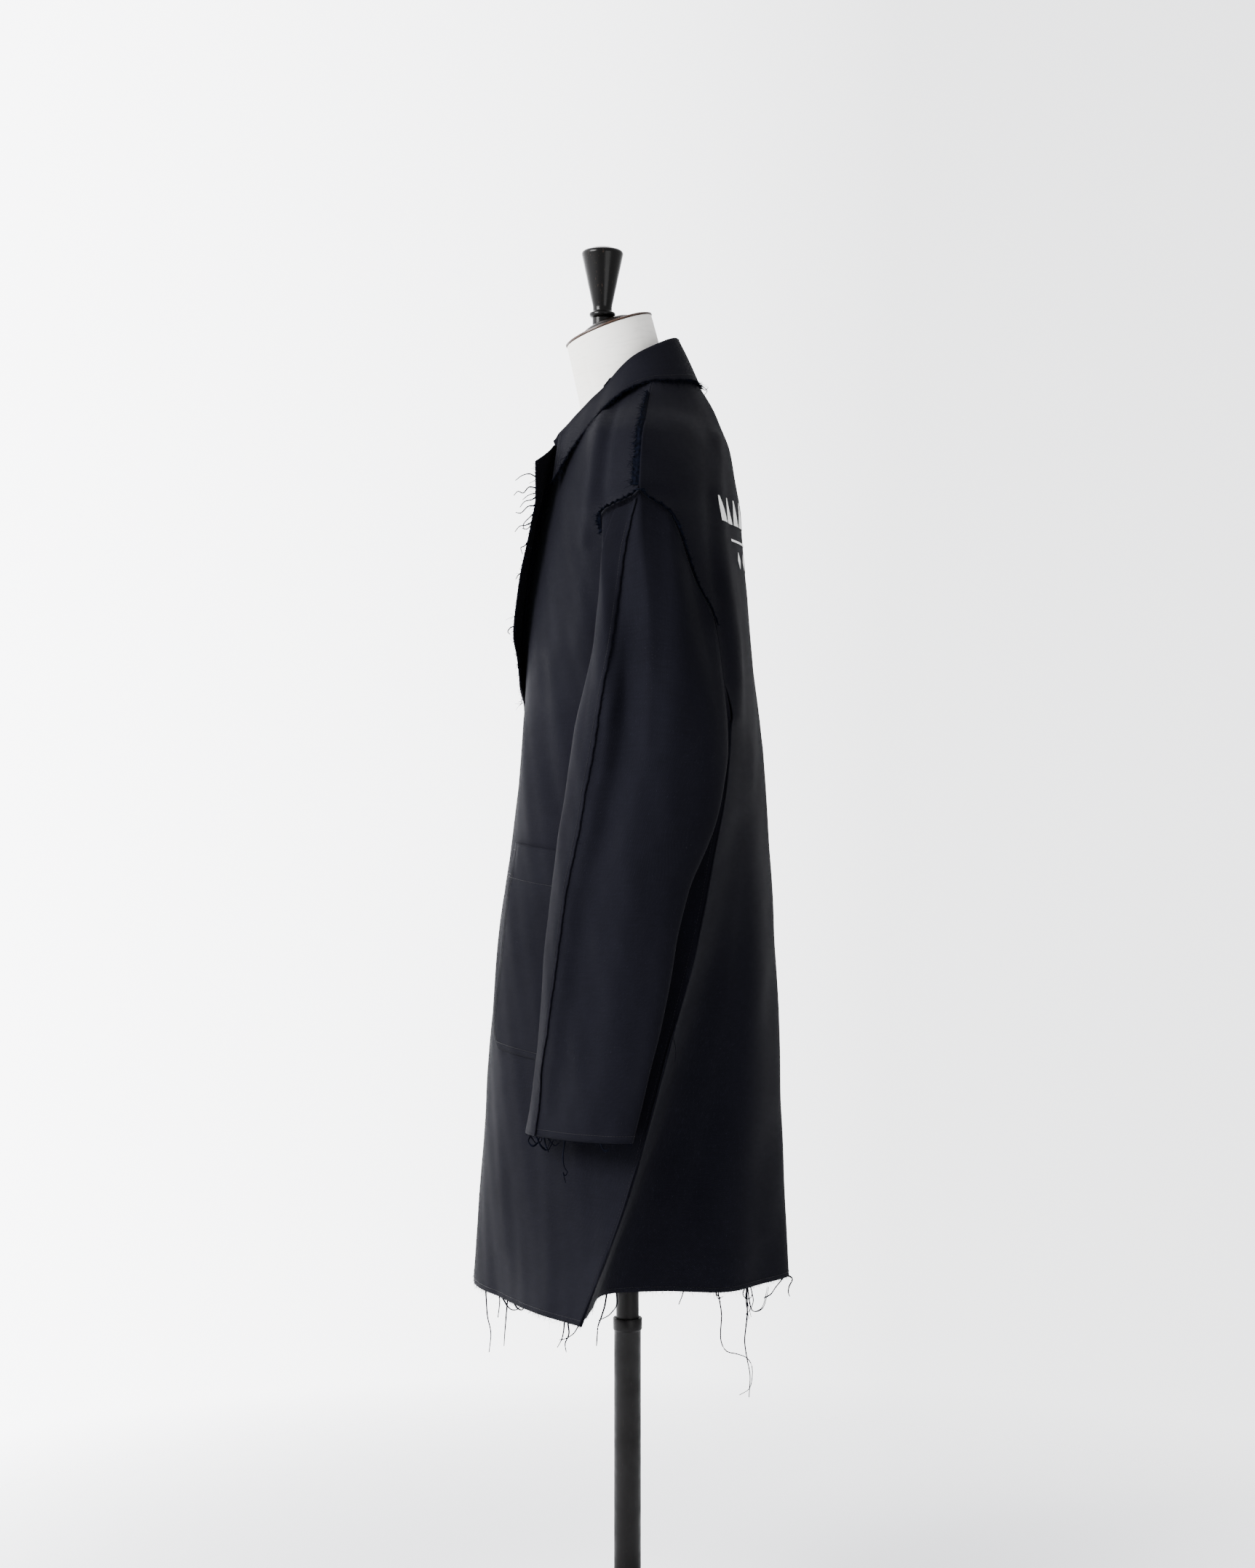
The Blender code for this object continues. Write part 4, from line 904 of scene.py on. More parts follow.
class Finish(Nodes):
    """A new Principled material, with its plain values on the shader's own sockets."""

    def __init__(self, name, colour, roughness, **sockets):
        self.material = bpy.data.materials.new(name)
        self.material.use_nodes = True
        self.material.diffuse_color = (*colour, 1)
        super().__init__(self.material.node_tree)
        self.shader = self.tree.nodes["Principled BSDF"]
        self.set(Base_Color=colour, Roughness=roughness, **sockets)

    def set(self, **sockets):
        """Links or sets the shader's sockets."""
        for label, value in sockets.items():
            self.feed(self.shader.inputs[label.replace("_", " ")], value)

    def effect(self, name, **values):
        """The outputs of an effect with the given values."""
        inputs = {label.replace("_", " "): value for label, value in values.items()}
        return self.add("ShaderNodeGroup", inputs, node_tree=effect_group(name)).outputs

    def bump(self, height, strength, distance):
        """Tilts the surface by a height."""
        inputs = {"Height": height, "Strength": strength, "Distance": distance}
        self.set(Normal=self.add("ShaderNodeBump", inputs).outputs[0])


def coat_cloth(name):
    """The coat's twill: yarn tone and wear mix two near blacks, and lint lies on it."""
    props = cloth_settings()
    dark = tuple(props.colour)
    made = Finish(
        name, dark, 0.86, Specular_IOR_Level=0.055, Specular_Tint=(0.82, 0.83, 1.0),
        Sheen_Weight=props.sheen, Sheen_Roughness=0.5,
    )
    ribs = made.effect("Twill", Ribs_per_metre=820.0, Yarn=0.8)
    lint = made.effect("Specks", Scale=520.0, Amount=0.16)
    tone = made.maths("ADD", made.times(ribs["Yarn tone"], 0.6), made.times(ribs["Wear"], 0.4))
    cloth = made.mixed(made.ranged(tone, 0.35, 0.68), dark, tinted(dark, 1.9))
    made.set(
        Base_Color=made.mixed(lint["Mask"], cloth, (0.03, 0.03, 0.034)),
        Roughness=made.ranged(ribs["Wear"], 0.3, 0.7, 0.92, 0.78),
    )
    made.bump(ribs["Height"], 0.35, 0.0004)
    return made.material


def raw_yarn(name):
    """The same yarns where they stick out: a little paler and bluer, uneven by a noise."""
    colour = tuple(thread_settings().colour)
    made = Finish(name, colour, 0.9, Specular_IOR_Level=0.02)
    mask = made.ranged(made.noise(made.place(), 260.0, 2.0), 0.35, 0.7)
    made.set(Base_Color=made.mixed(mask, colour, tinted(colour, 3.4)))
    return made.material


def sewing_thread(name):
    """Black thread with a slight shine, uneven by a noise."""
    made = Finish(name, (0.005, 0.005, 0.006), 0.5, Specular_IOR_Level=0.12)
    mask = made.noise(made.place(), 900.0, 1.0)
    made.set(Base_Color=made.mixed(mask, (0.003, 0.003, 0.004), (0.009, 0.009, 0.011)))
    return made.material


def print_ink(name):
    """White ink, greyer and pitted where a noise wears it."""
    made = Finish(name, (0.72, 0.72, 0.7), 0.6)
    noise = made.noise(made.place(), 420.0, 3.0)
    mask = made.ranged(noise, 0.35, 0.6, 1.0, 0.0)
    made.set(Base_Color=made.mixed(mask, (0.74, 0.74, 0.72), (0.5, 0.5, 0.5)))
    made.bump(noise, 0.2, 0.0002)
    return made.material


def canvas(name):
    """The form's canvas: plain weave, darker slubs, and a broad noise for its age."""
    colour = tuple(bpy.context.scene.coat_form.canvas)
    made = Finish(name, colour, 0.85, Sheen_Weight=0.15)
    threads = made.effect("Plain weave", Threads_per_metre=1100.0)
    age = made.ranged(made.noise(made.place(), 9.0, 4.0), 0.4, 0.7)
    cloth = made.mixed(age, colour, tinted(colour, (0.93, 0.9, 0.84)))
    slub = made.ranged(threads["Slub"], 0.52, 0.72, 0.0, 0.5)
    made.set(Base_Color=made.mixed(slub, cloth, tinted(colour, 0.8)))
    made.bump(threads["Height"], 0.25, 0.0003)
    return made.material


# Colour, colour where worn, roughness, coat, gloss, and whether it has grain or is bare at its top
HARD_FINISHES = {
    "dark turned wood": ((0.004, 0.0022, 0.0016), (0.05, 0.025, 0.014), 0.28, 0.03, 0.16, "grain"),
    "bare brown edge": ((0.035, 0.015, 0.008), (0.12, 0.06, 0.03), 0.38, 0.03, 0.3, "grain"),
    "black lacquer": ((0.0012, 0.0011, 0.0011), (0.06, 0.036, 0.027), 0.2, 0.02, 0.12, "bare top"),
    "dark painted metal": ((0.0024, 0.0021, 0.0022), (0.02, 0.017, 0.015), 0.4, 0.0, 0.12, ""),
}


def hard_finish(name):
    """Lacquered wood or painted metal: handled blotches change its gloss, and scratches its colour.

    Grain is a noise stretched upwards. A bare top shows the worn colour.
    """
    colour, worn, roughness, coat, gloss, more = HARD_FINISHES[name]
    made = Finish(
        name, colour, roughness, Coat_Weight=coat, Coat_Roughness=0.08, Specular_IOR_Level=gloss
    )
    wear = made.effect("Handling", Scale=34.0)
    base = colour
    if more == "grain":
        ring = made.noise(made.place(), 240.0, 4.0, stretch=(1, 1, 0.12))
        base = made.mixed(made.ranged(ring, 0.35, 0.7), colour, tinted(colour, 0.45))
    scratch = made.times(wear["Scratch"], 0.35)
    if more == "bare top":
        height = made.split(made.place())[2]
        bare = made.ranged(height, KNOB_BARE_FROM, KNOB_BARE_FROM + 1.2 * MM)
        scratch = made.maths("MAXIMUM", scratch, bare)
    made.set(
        Base_Color=made.mixed(scratch, base, worn),
        Roughness=made.ranged(wear["Blotch"], 0.3, 0.7, roughness * 0.75, roughness * 1.5),
    )
    made.bump(wear["Blotch"], 0.04, 0.0006)
    return made.material


MATERIALS = {
    "black twill": coat_cloth,
    "raw yarn": raw_yarn,
    "black sewing thread": sewing_thread,
    "white print": print_ink,
    "cream canvas": canvas,
}


def material(name):
    """The material of that name, made when it is first asked for."""
    return bpy.data.materials.get(name) or MATERIALS.get(name, hard_finish)(name)


# Form and stand, in millimetres up from the floor unless named otherwise
NECK_TILT = math.radians(20.5)
CAP_CENTRE = (0.0, -22.4 * MM, 1616.8 * MM)
CAP_RADIUS = 55.9
CAP_RISE = 12.5
CAP_RIM = (
    (51, 0.3), (CAP_RADIUS, 0.3), (CAP_RADIUS + 0.5, 0.9), (CAP_RADIUS + 0.3, 2.3), (54.6, 2.9), (51, 2.9),
)
CAP_DOME = (
    (0, 2.9), (53.4, 2.9), (53.8, 3.2), (53.2, 3.6), (44, 3.9), (36.6, 4.3), (36.2, 5.0), (35.4, 6.0),
    (33.6, 6.8), (31.4, 7.4), (30.6, 8.8), (29, 10.2), (25.5, 11.6), (20, CAP_RISE), (0, CAP_RISE),
)
KNOB_Y = -30.9 * MM
KNOB_BASE = 1633 * MM
KNOB_PROFILE = (
    (12.4, 0), (12.8, 0), (14.2, 1.0), (15.8, 2.8), (16.2, 4.6), (15.6, 6.4), (13.4, 7.6), (12.2, 8.6),
    (11.9, 11), (12.1, 15), (13.4, 21), (15.3, 30), (17.5, 40), (19.6, 50), (21.8, 60), (23.9, 70),
    (25.2, 76), (25.7, 78.4), (25.5, 80.2), (24.4, 82.0), (22.2, 83.4), (19.6, 84.2), (17, 85.2),
    (12.6, 86.6), (8, 87.5), (4, 87.9),
)
KNOB_BARE_FROM = KNOB_BASE + 83 * MM
POLE_RADIUS = 16.6
TUBE_RADIUS = 14.1
POLE_TOP = 404
TUBE_TOP = 814.6
TUBE_FOOT = 120
BASE_RADIUS = 195
BASE_THICKNESS = 16
# Outlines of the tube's rim, the socket and the plate's edge, each counted from a radius and a height
POLE_RIM = ((0, -16), (0.5, -15.2), (1.2, -14.2), (1.4, -13.4), (1.4, -0.8), (0.8, 0))
SOCKET = (
    (0.45, 0.3), (29.4, 0.3), (30, 1.2), (29.4, 2.6), (24, 4.4), (18, 6.6), (13, 10.4), (10, 15),
    (9, 20), (9, 54), (8.2, 56.8), (6.4, 58), (1.2, 58), (0.45, 57.2), (0.45, 0.3),
)
PLATE_EDGE = ((0, -9), (-0.5, -6.8), (-1.8, -4.8), (-4, -2.8), (-7, -1.3), (-11, -0.3), (-15, 0))
# The form's rings: spans of height with how many, points in each, and seams as shares of the way round
BUST_SPANS = ((815, 830, 8), (834, 1400, 120), (1404, 1550, 60))
BUST_AROUND = 144
BUST_SEAMS = (0.25, 0.75, 0.62, 0.88, 0.12, 0.38)
BUST_SEAM_DEPTH = 0.7 * MM
BUST_SEAM_WIDTH = 0.9
SHARP_ANGLE = math.radians(38)

# The studio: the floor's disc in mm, each light's place, size and aim, and the camera's lens in mm
FLOOR = ((0, -12.0), (1900, -12.0), (1900, -0.5), (0, -0.5))
KEY_LIGHT = ((1.7, -2.4, 2.7), 1.7, (0, 0, 1.2))
FILL_LIGHT = ((2.6, 1.6, 0.9), 1.6, (0.15, 0.1, 0.85))
CAMERA_LENS = 59.7

# Raw allowances
LAYER_GAP = 0.45 * MM
STRIP_WALL = 1.3 * MM
FRILL_LIFT = 1.2 * MM
FRILL_INSET = 1.7 * MM
FRILL_PLACES = 2.5
SHOULDER_ALLOWANCE = 6 * MM
SHOULDER_LIFT = 0.6 * MM
SHOULDER_SINK = 3.2 * MM
SHOULDER_SEAM_TOP = 1520 * MM

# Columns of points, and how much cloth one place of a front is at the pocket and near the shoulder
PANEL_COLUMNS = 84
LAPEL_COLUMNS = 27
POCKET_STATION = 84 * MM
SHOULDER_STATION = 62 * MM
SHOULDER_STITCH_STATION = 60 * MM
RIGHT_CREASES = 0.7
SHEET_MARGIN = 1.002

# Stitches, yarn ends and threads
HEM_STITCHES = HEM + 5.5 * MM
PLACKET_STITCHES = 0.17
SIDE_SEAM_STITCHES = 3.94
STITCH_LENGTH = 3.0 * MM
STITCH_HEIGHT = 0.42 * MM
FIBRE_STEP = 1.3 * MM
THREAD_POINTS = 28
THREAD_SEED = 21
# How far the threads sway, how wide they are in mm, and how often a thin second one goes with them
HEM_SWAY, HEM_WIDTH = 10.0, 2.0
COLLAR_SWAY, COLLAR_WIDTH = 5.0, 1.4
LAPEL_SWAY, LAPEL_WIDTH = 4.0, 1.8
SEAM_SWAY, SEAM_WIDTH = 5.0, 0.75
SECOND_SHARE, SECOND_WIDTH = 0.4, 1.4

# Loose threads at the hem of the front (place 0 to 4) and the back (0 to 12), then at the cuffs: the
# place on the edge where each starts, and the points that it runs through in Y and Z from there.
FRONT_THREADS = (
    (1.44, ((2, -30), (6, -50), (4, -73))),
    (2.13, ((-3, -36), (-4, -53))),
    (1.98, ((5, -9), (10, -13), (16, -13), (22, -9))),
    (2.35, ((4, -5), (8, -7), (12, -4))),
    (3.62, ((-1, -10), (-3, -19), (-8, -28))),
    (3.70, ((1, -12), (-3, -22), (-2, -33))),
    (3.93, ((-5, -8), (-14, -14), (-21, -15))),
)
BACK_THREADS = (
    (2.00, ((-2, -13), (-7, -29), (-10, -37), (-11, -48), (-12, -61))),
    (2.22, ((0, -15), (-5, -22), (-10, -27), (-21, -33))),
    (3.82, ((1, -4), (3, -7), (6, -6))),
    (3.86, (
        (4, -25), (3, -47), (4, -60), (10, -70), (23, -73), (34, -77), (40, -87), (40, -104), (37, -115),
        (25, -121),
    )),
    (4.52, ((-2, -6), (2, -12), (8, -10), (9, -3))),
    (4.58, ((1, -30), (-2, -64), (1, -86), (4, -102), (3, -130))),
    (4.72, ((3, -17), (-1, -28), (-6, -33))),
    (4.62, ((2, -15), (5, -26), (10, -29), (18, -24), (23, -10), (25, 2))),
    (5.64, ((-9, -11), (-15, -19), (-23, -24))),
    (5.93, ((5, -4), (1, -14), (0, -21), (2, -26))),
    (7.3, ((4, -20), (2, -46), (6, -70))),
    (8.6, ((-5, -18), (-3, -40), (-9, -58))),
    (10.4, ((3, -14), (8, -26), (6, -44))),
)
CUFF_THREADS = (
    (7.9, ((4, -6), (8, -10), (14, -7), (12, -1))),
    (8.2, ((-3, -7), (2, -12), (8, -8), (10, -1))),
    (8.85, ((6, -11), (13, -16), (17, -10), (21, -1))),
    (9.6, ((2, -9), (5, -17))),
    (9.9, ((4, -5), (9, -9), (13, -6))),
    (0.0, ((-2, -22), (0, -31), (3, -36), (0, -40), (-2, -36), (1, -48))),
    (1.4, ((3, -6), (6, -8), (10, -5))),
)
# Threads at the lapel's edge: the height of the row that they start on, and points in Y and Z.
LAPEL_THREADS = (
    (1452, ((-8, 4), (-17, 2), (-25, -4))),
    (1440, ((-9, 1), (-16, -6), (-22, -4), (-27, -9))),
    (1430, ((-6, -4), (-14, -6), (-20, -13))),
    (1418, ((-9, -1), (-18, -9), (-24, -8))),
    (1408, ((-5, -5), (-13, -14), (-12, -20))),
    (1396, ((-8, -4), (-15, -5), (-21, -12))),
    (1372, ((-5, -6), (-9, -8), (-7, -16))),
    (1330, ((-4, -3), (-7, -8))),
    (1262, ((-5, -2), (-8, -7), (-5, -10))),
)
COLLAR_THREADS = (
    (6.4, ((4, -6), (9, -9), (8, -15))),
    (7.0, ((5, -3), (10, -8), (6, -14))),
    (7.5, ((3, -7), (9, -11), (13, -8))),
    (7.2, ((2, -9), (5, -16), (3, -22))),
)
# A thread on the side seam: its place and height on the front, and its points as above
SEAM_THREAD_START = (3.97, 790 * MM)
SEAM_THREAD = ((-2, -18), (1, -34), (0, -48))
TRIANGLE = ((-0.5, 0), (0.5, 0), (0.06, 1), (-0.06, 1))
LOZENGE = ((0, 0), (0.5, 0.5), (0, 1), (-0.5, 0.5))
PRINT_HEIGHT = 1371 * MM
PRINT_ROWS = (
    # corners, how many, height of the foot, how tall, how wide each, and half the row's width
    (TRIANGLE, 9, PRINT_HEIGHT, 31 * MM, 23 * MM, 118 * MM),
    (LOZENGE, 5, 1319 * MM, 20 * MM, 15 * MM, 68 * MM),
)
# The rule's height, its thickness and half its width, and how many patches it is made of
PRINT_RULE = (1350 * MM, 2.6 * MM, 96 * MM, 12)
PRINT_LIFT = 0.28 * MM
PRINT_WALL = 0.35 * MM
PRINT_POINTS = 5


def cloth_settings():
    """The panel's settings for the cloth."""
    return bpy.context.scene.coat_cloth


def thread_settings():
    """The panel's settings for the yarn ends."""
    return bpy.context.scene.coat_threads


def side_cloth(bare, creases, side):
    """The cloth of one side, where the right side's creases are shallower."""
    strength = cloth_settings().crease * (1 if side == "left" else RIGHT_CREASES)
    return Cloth(bare(side), creases, strength, flip=side == "right")


def front_cloth(side):
    """A front below its roll line."""
    return side_cloth(front_bare, FRONT_CREASES, side)


def sleeve_cloth(side):
    """A sleeve with its creases."""
    return side_cloth(sleeve_bare, SLEEVE_CREASES, side)


def pocket_bare(side):
    """The front under a pocket, by the pocket's own two shares."""
    front = front_bare(side)
    return lambda across, up: front(*pocket_frame(across, up))


def lapel_cloth(side):
    """A lapel from its roll line, at place 0, to its raw edge."""
    return Cloth(lapel_bare(side), (), 0.0, flip=side == "left")


def back_cloth():
    """The back with its creases."""
    return Cloth(back_bare, BACK_CREASES, cloth_settings().crease)


def collar_cloth():
    """The collar, which has no creases."""
    return Cloth(collar_bare, (), 0.0)


def levels(low, high, step):
    """Even heights about a step apart."""
    return np.linspace(low, high, max(int(round((high - low) / step)), 2) + 1)


def edge_dip(place, ends, reach=0.018, depth=1.1 * MM):
    """Cloth drawn in at a sewn seam: a bell curve of the distance to each end, in stations."""
    return -sum(depth * np.exp(-(((place - end) / reach) ** 2)) for end in ends)


def panel_places(last):
    """Even stations with two closer ones at the end, where the seam draws the cloth in."""
    return np.concatenate([np.linspace(0, last - 0.05, PANEL_COLUMNS), [last - 0.02, last]])


def build_front(side):
    """A front cut in one with its lapel. The lapel's columns are left out below the break."""
    step = cloth_settings().grid
    heights = levels(HEM, NECK_SEAM, step)
    place, height = np.meshgrid(panel_places(FRONT_END), heights)
    panel = front_cloth(side).at(place, height, edge_dip(place, (FRONT_END,)))
    turned_back = np.linspace(LAPEL_EDGE, 0, LAPEL_COLUMNS)[:-1]
    place, height = np.meshgrid(turned_back, heights)
    lapel_height = np.clip(height, BREAK[side], GORGE)
    lapel = lapel_cloth(side).bare(place, lapel_height)
    start = smoothstep(BREAK[side], BREAK[side] + 30 * MM, lapel_height)[..., None]
    points = np.concatenate([lerp(np.broadcast_to(panel[:, :1], lapel.shape), lapel, start), panel], axis=1)
    high = heights[1:, None]
    folded = (high > BREAK[side]) & (high <= GORGE + step / 2)
    keep = np.broadcast_to(folded, (len(heights) - 1, points.shape[1] - 1)).copy()
    keep[:, len(turned_back):] = True
    sew("front_" + side, points, "coat_front_" + side, side=side, keep=keep)


def build_back():
    """The back in one piece, from side seam to side seam."""
    heights = levels(HEM, NECK_SEAM, cloth_settings().grid)
    half = panel_places(BACK_CENTRE)
    place, height = np.meshgrid(np.concatenate([BACK_CENTRE - half[::-1], BACK_CENTRE + half[1:]]), heights)
    points = back_cloth().at(place, height, edge_dip(place, (0, BACK_END)))
    sew("back", points, "coat_back")


def build_sleeve(side):
    """The main part of a sleeve, from the cuff up into the armhole, with its seam drawn in."""
    rows = np.concatenate([np.linspace(0, 1, 84)[:-1], np.linspace(1, 1.96, 58), [1.985, 2.0]])
    place, level = np.meshgrid(np.arange(0, SLEEVE_STATIONS, 0.1), rows)
    points = sleeve_cloth(side).at(place, level, -0.9 * MM * smoothstep(1.97, 2.0, level))
    sew("sleeve_" + side, points, "sleeve_" + side, side, around=True)


def wander(values, size, seed, scale):
    """Small smooth unevenness of a cut edge: two sines of its own length with unlike waves."""
    return size * (np.sin(values * scale + seed) * 0.6 + np.sin(values * scale * 2.7 + 1.7 * seed) * 0.4)


def build_sleeve_lap(side):
    """The fore part of a sleeve, lapped over the main part: the sleeve's own points, lifted off it.

    Its raw edge wanders a little and lifts, more where it isn't stitched down flat.
    """
    rows = np.concatenate([np.linspace(0, 1, 130)[:-1], np.linspace(1, 1.97, 96)])
    share, level = np.meshgrid(np.linspace(0, 1, 21), rows)
    lap = LAP.at(level)
    place = lerp(lap["inner"], lap["edge"] + wander(level, 0.025, 2.0, 90.0), share)
    open_here = 1 - smoothstep(0.18, 0.28, level) * (1 - smoothstep(1.0, 1.2, level))
    curl = smoothstep(0.8, 1, share) * (0.2 + 0.3 * open_here + wander(level, 0.15, 4.0, 63.0)) * MM
    points = sleeve_cloth(side).at(place, level, LAYER_GAP + STRIP_WALL + curl)
    name = "sleeve_lap_" + side
    sew(name, points, name, side, STRIP_WALL)


def build_collar():
    """The collar from inside the neck seam over the crease to its raw edge, uneven as it was cut.

    Its stand runs on a little past the front of its fall, behind the lapel.
    """
    place, share = np.meshgrid(np.linspace(0, COLLAR_END, 240), np.linspace(0, 1, 50))
    across = lerp(-1, COLLAR_EDGE + wander(place, 0.05, 1.0, 12.0), share)
    forward = 0.3 * (1 - smoothstep(1.5, 3.5, across))
    middle = COLLAR_END / 2
    place = np.clip(middle + (place - middle) * (1 + forward / middle), -0.3, COLLAR_END + 0.3)
    points = collar_cloth().at(place, across)
    sew("collar_leaf", points, "collar")


def pocket_frame(share_across, share_up):
    """Place and height on the front of a spot in the pocket, both shares from 0 to 1.

    The lower corners are round: the sides draw in by a quarter circle. The top and the foot slope
    down towards the side seam.
    """
    height = lerp(POCKET_BOTTOM, POCKET_TOP, share_up)
    above = np.clip(height - POCKET_BOTTOM, 0, POCKET_CORNER)
    inset = POCKET_CORNER - np.sqrt(np.maximum(POCKET_CORNER**2 - (POCKET_CORNER - above) ** 2, 0))
    inset_places = inset / POCKET_STATION
    place = lerp(1 + inset_places, 3 - inset_places, share_across)
    return place, height - POCKET_SLOPE * (place - 1)


def build_pocket(side):
    """A patch pocket laid on the front: the front's own points, lifted off, its mouth a little open."""
    across, up = np.meshgrid(np.linspace(0, 1, 48), np.linspace(0.004, 1, 58))
    edge = np.minimum(np.minimum(across, 1 - across), up)
    puff = smoothstep(0, 0.12, edge) * (0.8 + 1.6 * smoothstep(0.75, 1, up)) * MM
    points = front_cloth(side).at(*pocket_frame(across, up), LAYER_GAP + STRIP_WALL + puff)
    sew("patch_pocket_" + side, points, "pocket_" + side, side, STRIP_WALL)


def build_shoulder_lap(side):
    """The shoulder seam's raw allowance, laid forwards over the front and lifting at its edge."""
    heights = levels(SHOULDER_TIP + 2 * MM, SHOULDER_SEAM_TOP, 1.6 * MM)
    share, height = np.meshgrid(np.linspace(0, 1, 12), heights)
    reach = SHOULDER_ALLOWANCE * (1 + wander(height, 0.12, 3.0, 420.0)) / SHOULDER_STATION
    place = FRONT_END - reach * (1 - share)
    waves = 2.4 + wander(height, 1.1, 1.0, 330.0) + wander(height, 0.5, 2.0, 900.0)
    ruffle = (1 - share) ** 2 * waves * MM
    sunk = SHOULDER_SINK * smoothstep(0.55, 1.0, share)
    points = front_cloth(side).at(place, height, SHOULDER_LIFT + STRIP_WALL + ruffle - sunk)
    sew(
        "shoulder_lap_" + side, points, "shoulder_seam_" + side, side,
        STRIP_WALL, "raw yarn",
    )


def frill_row(side, share):
    """A line of the armhole's standing allowance, and the way out there, from its foot (0) up (1)."""
    places = np.linspace(-FRILL_PLACES, FRILL_PLACES, 170)
    cloth = sleeve_cloth(side)
    top = np.full_like(places, 2.0)
    base = cloth.at(places, top)
    away = cloth.normal(places, top)
    toward = unit(cloth.at(places, np.full_like(places, 1.96)) - base)
    foot = base + away * FRILL_LIFT + toward * FRILL_INSET
    ragged = 4.4 + wander(places, 1.3, 0.7, 11.0) + wander(places, 0.9, 1.9, 47.0)
    height = lerp(ragged, 1.6, smoothstep(0.8, 1.5, places)) * MM
    lean = (1.1 + wander(places, 2.2, 2.0, 23.0)) * MM
    return foot + (away * height[:, None] + toward * lean[:, None]) * share, away


def build_frill(side):
    """The armhole's raw allowance: it stands out along the seam and leans over in small waves."""
    points = np.stack([frill_row(side, share)[0] for share in np.linspace(0, 1, 7)])
    sew(
        "armhole_frill_" + side, points, "armhole_seam_" + side, side,
        STRIP_WALL, "raw yarn",
    )


def add_row(rows, cloth, across, up, pitch=3.3, lift=0.1, width=0.55):
    """A row of stitches along a path on a cloth, lying on it: short spindles with small gaps."""
    points, way, normal = walk(cloth, across, up, lift * MM, 60, pitch * MM, even=True)[2:]
    side_way = unit(np.cross(normal, way))
    rows.add(*spindles(points, way, side_way, normal, STITCH_LENGTH, width * MM, STITCH_HEIGHT))


def fibres(ends, points, way, normal, outward, density, reach, rng, width):
    """Short yarn ends at a raw edge: each leaves outwards and bends to a random side.

    points, way, normal and outward are rows along the edge, and density is yarn ends per step.
    """
    count = len(points) * density
    pick = np.repeat(np.arange(len(points)), density)
    jitter = rng.uniform(-0.5, 0.5, count)[:, None] * np.linalg.norm(points[1] - points[0])
    root = points[pick] + way[pick] * jitter - outward[pick] * 0.6 * MM
    length = reach * MM * rng.gamma(2.2, 0.42, count)
    lean = rng.normal(0, 0.55, count)[:, None]
    rise = rng.normal(0.1, 0.4, count)[:, None]
    heading = unit(outward[pick] + way[pick] * lean + normal[pick] * rise)
    aside = way[pick] * rng.normal(0, 1, count)[:, None]
    bend = unit(aside + normal[pick] * rng.normal(0, 0.7, count)[:, None])
    steps = np.linspace(0, 1, 5)[None, :, None]
    rows = root[:, None] + heading[:, None] * steps * length[:, None, None]
    rows = rows + bend[:, None] * (steps**2) * (length * rng.uniform(0.1, 0.5, count))[:, None, None]
    ends.add(*strands(rows, width * MM))


def edge_fibres(ends, cloth, across, up, outward_way, density, reach, seed, lift=-0.8, width=0.26):
    """Yarn ends along a path on a cloth, standing out along across or up, whichever is given."""
    a, b, points, way, normal = walk(cloth, across, up, lift * MM, 40, FIBRE_STEP, even=False)
    da, db = outward_way
    outward = unit(points - cloth.at(a - da * 2e-3, b - db * 2e-3, lift * MM))
    fibres(ends, points, way, normal, outward, density, reach, np.random.default_rng(seed), width)


def hanging(start, offsets, side, rng, sway):
    """A hanging thread: a smooth curve from its start through the offsets in Y and Z, swaying in X."""
    path = [(0.0, 0.0, 0.0)]
    for k, (y, z) in enumerate(offsets):
        path.append((SIDES[side] * rng.uniform(-0.35, 0.5) * sway * min(k + 1, 4) / 4, y, z))
    stations = np.array(path) * MM + start
    place = np.linspace(0, len(offsets), THREAD_POINTS)
    return along(np.broadcast_to(stations, place.shape + stations.shape), place)


def spot(cloth, place, height, lift=0.0):
    """One point of a cloth."""
    return cloth.at(np.array([place]), np.array([height]), lift)[0]


def add_threads(threads, cloth, side, height, rows, rng):
    """Loose threads from places along a cloth's edge at one height or level, some of them double."""
    for place, offsets in rows:
        start = spot(cloth, place, height, -0.8 * MM)
        curve = hanging(start, offsets, side, rng, HEM_SWAY)
        threads.strand(curve, HEM_WIDTH * rng.uniform(0.75, 1.15))
        if rng.uniform() < SECOND_SHARE:
            aside = np.linspace(0, 1, len(curve))[:, None] * rng.normal(0, 2.2 * MM, 3)
            threads.strand(curve + aside, SECOND_WIDTH)


